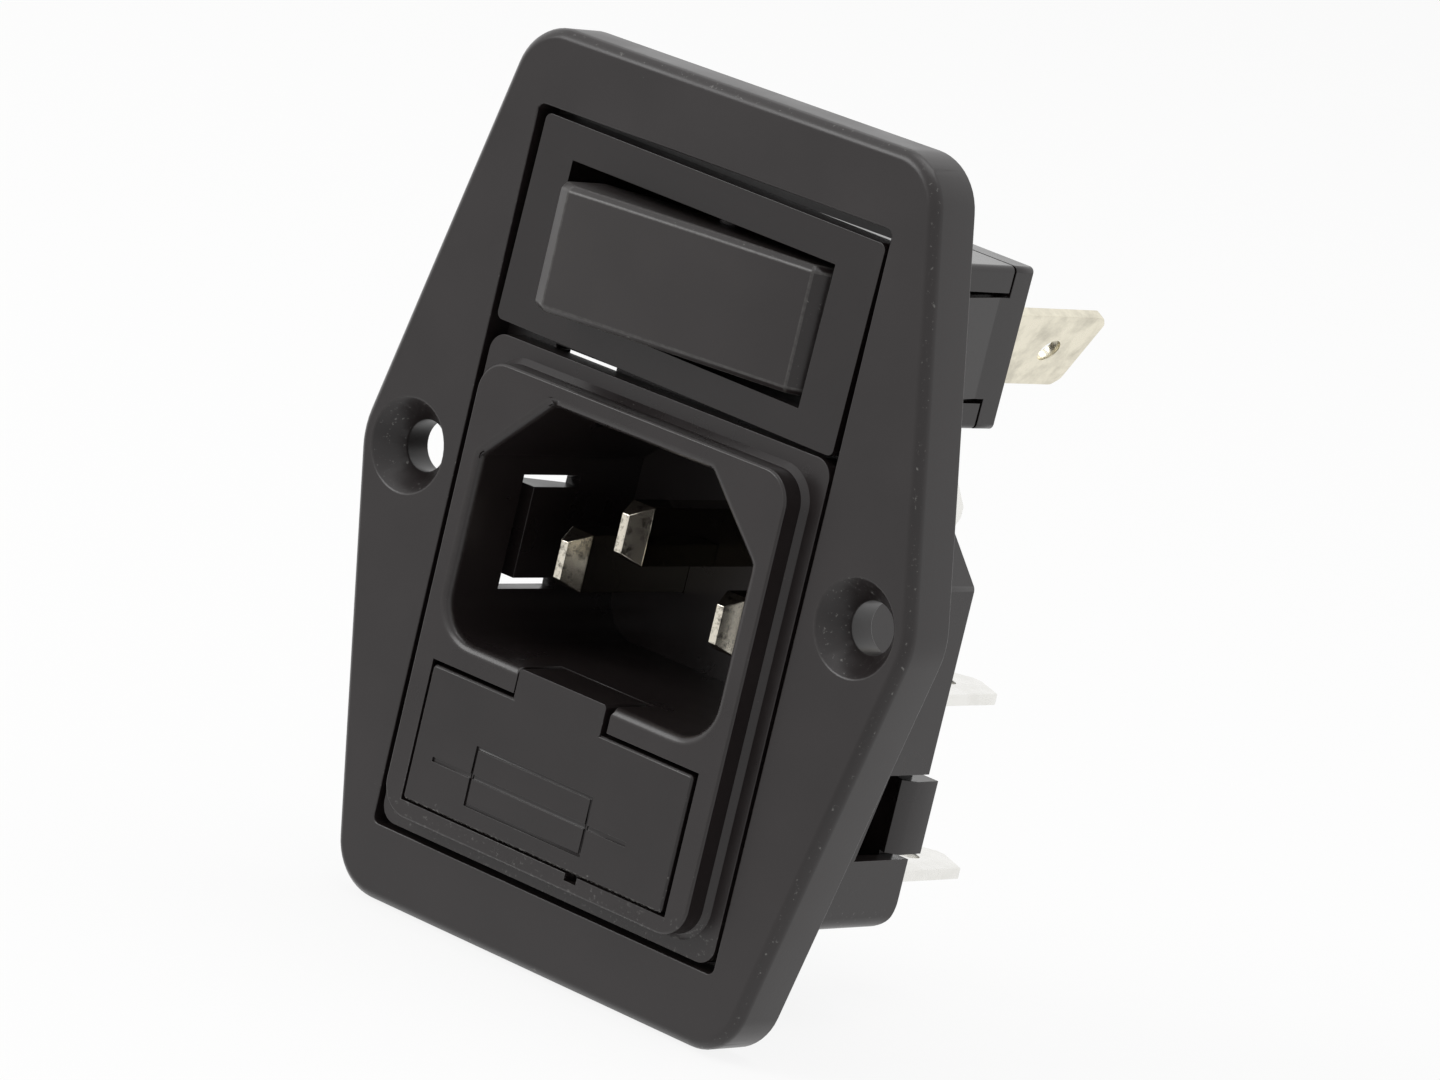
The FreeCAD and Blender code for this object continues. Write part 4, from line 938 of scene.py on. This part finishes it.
class SetStage(bpy.types.Operator):
    """Lay the floor, light the tent and place the camera"""
    bl_idname = "inlet.set_stage"
    bl_label = "Floor, light and camera"

    def execute(self, context):
        scene = context.scene
        stage = scene.inlet_stage
        scene.view_settings.view_transform = "Standard"
        self.lay_floor(stage)
        self.light_tent(scene, stage)
        self.place_camera(scene, stage)
        return {"FINISHED"}

    def white_surround(self, tree, direction):
        """Where the surround is seen, straight or mirrored, and how white it is: white to the
        camera, and darker in what mirrors the front right, where a studio has no white wall."""
        path = add_node(tree, "ShaderNodeLightPath")
        unit = add_node(tree, "ShaderNodeVectorMath", {0: direction}, operation="NORMALIZE")
        towards = add_node(tree, "ShaderNodeVectorMath", {
            0: unit.outputs["Vector"], 1: -CAMERA_AHEAD}, operation="DOT_PRODUCT")
        dark = add_node(tree, "ShaderNodeMapRange", {
            "Value": towards.outputs["Value"], "From Min": 0.55, "From Max": 0.95,
            "To Min": 1.0, "To Max": 0.8})
        white = add_node(tree, "ShaderNodeMath", {
            0: path.outputs["Is Camera Ray"], 1: dark.outputs[0]}, operation="MAXIMUM")
        mirrored = add_node(tree, "ShaderNodeMath", {
            0: path.outputs["Is Glossy Ray"], 1: path.outputs["Is Transmission Ray"]},
            operation="MAXIMUM")
        seen = add_node(tree, "ShaderNodeMath", {
            0: path.outputs["Is Camera Ray"], 1: mirrored.outputs[0]}, operation="MAXIMUM")
        return seen.outputs[0], white.outputs[0]

    def lay_floor(self, stage):
        """White card floor that shows as plain white and still takes a soft shadow."""
        height = CAD_BOX[0][2] - stage.floor_gap
        work = bmesh.new()
        bmesh.ops.create_grid(work, x_segments=8, y_segments=8, size=FLOOR_HALF,
                              matrix=Matrix.Translation((0, 0, height)))
        floor = show("floor", write_smooth(work, bpy.data.meshes.new("floor")))
        material = empty_material("white_card_floor")
        tree = material.node_tree
        place = add_node(tree, "ShaderNodeTexCoord").outputs["Object"]
        seen, white = self.white_surround(tree, place)
        # In what mirrors it, the floor is a little darker in front of the object
        depth = add_node(tree, "ShaderNodeSeparateXYZ", {"Vector": place})
        front = add_node(tree, "ShaderNodeMapRange", {
            "Value": depth.outputs["Y"], "From Min": -50 * MM, "From Max": 0.0,
            "To Min": 0.75, "To Max": 1.0})
        path = add_node(tree, "ShaderNodeLightPath")
        shown = add_node(tree, "ShaderNodeMath", {
            0: path.outputs["Is Camera Ray"], 1: front.outputs[0]}, operation="MAXIMUM")
        level = add_node(tree, "ShaderNodeMath", {0: white, 1: shown.outputs[0]},
                         operation="MULTIPLY")
        share = add_node(tree, "ShaderNodeMath", {0: seen, 1: 0.88}, operation="MULTIPLY")
        card = add_node(tree, "ShaderNodeBsdfDiffuse", {"Color": opaque(stage.card)})
        glow = add_node(tree, "ShaderNodeEmission", {
            "Color": WHITE, "Strength": level.outputs[0]})
        both = add_node(tree, "ShaderNodeMixShader", {
            0: share.outputs[0], 1: card.outputs[0], 2: glow.outputs[0]})
        add_node(tree, "ShaderNodeOutputMaterial", {"Surface": both.outputs[0]})
        floor.data.materials.append(material)

    def light_tent(self, scene, stage):
        """White tent all round, a large light at front left and one above."""
        world = bpy.data.worlds.new("white_tent")
        world.use_nodes = True
        tree = world.node_tree
        tree.nodes.clear()
        direction = add_node(tree, "ShaderNodeTexCoord").outputs["Generated"]
        seen, white = self.white_surround(tree, direction)
        level = add_node(tree, "ShaderNodeMix", {
            "Factor": seen, "A": stage.tent_light, "B": white}, data_type="FLOAT")
        wall = add_node(tree, "ShaderNodeBackground", {
            "Color": WHITE, "Strength": level.outputs[0]})
        add_node(tree, "ShaderNodeOutputWorld", {"Surface": wall.outputs[0]})
        scene.world = world
        self.soft_light(scene, "key_light", stage.key_light, KEY_SIZE, KEY_PLACE)
        self.soft_light(scene, "top_light", stage.top_light, TOP_SIZE, TOP_PLACE)

    def soft_light(self, scene, name, power, size, point):
        """Square area light that faces the object."""
        data = bpy.data.lights.new(name, "AREA")
        data.energy = power
        data.size = size
        lamp = bpy.data.objects.new(name, data)
        facing = point.to_track_quat("Z", "Y").to_matrix().to_4x4()
        lamp.matrix_world = Matrix.Translation(point) @ facing
        scene.collection.objects.link(lamp)

    def place_camera(self, scene, stage):
        """Camera at front right, a little above, rolled as the picture was."""
        data = bpy.data.cameras.new("camera")
        data.sensor_fit = "HORIZONTAL"
        data.sensor_width = PICTURE_WIDTH
        data.lens = stage.lens
        data.clip_start = 10 * MM
        camera = bpy.data.objects.new("camera", data)
        up = CAMERA_RIGHT.cross(CAMERA_AHEAD)
        turn = Matrix((CAMERA_RIGHT, up, -CAMERA_AHEAD)).transposed().to_4x4()
        camera.matrix_world = Matrix.Translation(CAMERA_PLACE) @ turn
        scene.collection.objects.link(camera)
        scene.camera = camera


# Panel and registration

STEPS = (BuildFlange, BuildInlet, BuildMetals, BuildDrawer, BuildFuse, BuildSwitch, BuildRocker,
         BuildSwitchWorks, SetStage)
GROUPS = {"inlet_sizes": InletSizes, "inlet_colours": InletColours, "inlet_stage": InletStage}


class InletPanel(bpy.types.Panel):
    """Steps that build the panel power inlet"""
    bl_idname = "VIEW3D_PT_inlet"
    bl_label = "Panel power inlet"
    bl_space_type = "VIEW_3D"
    bl_region_type = "UI"
    bl_category = "Inlet"

    def draw(self, context):
        column = self.layout.column()
        for step in STEPS:
            column.operator(step.bl_idname)
        for name, kind in GROUPS.items():
            for setting in kind.__annotations__:
                column.prop(getattr(context.scene, name), setting)


def register():
    """Make the steps, their settings and the panel known."""
    for kind in (*GROUPS.values(), *STEPS, InletPanel):
        bpy.utils.register_class(kind)
    for name, kind in GROUPS.items():
        setattr(bpy.types.Scene, name, bpy.props.PointerProperty(type=kind))


def unregister():
    """Take the steps, their settings and the panel away again."""
    for name in GROUPS:
        delattr(bpy.types.Scene, name)
    for kind in (InletPanel, *STEPS[::-1], *GROUPS.values()):
        bpy.utils.unregister_class(kind)


def main():
    """Run every step in order."""
    register()
    for step in STEPS:
        area, name = step.bl_idname.split(".")
        getattr(getattr(bpy.ops, area), name)()
    bpy.context.view_layer.update()


if __name__ == "__main__":
    main()
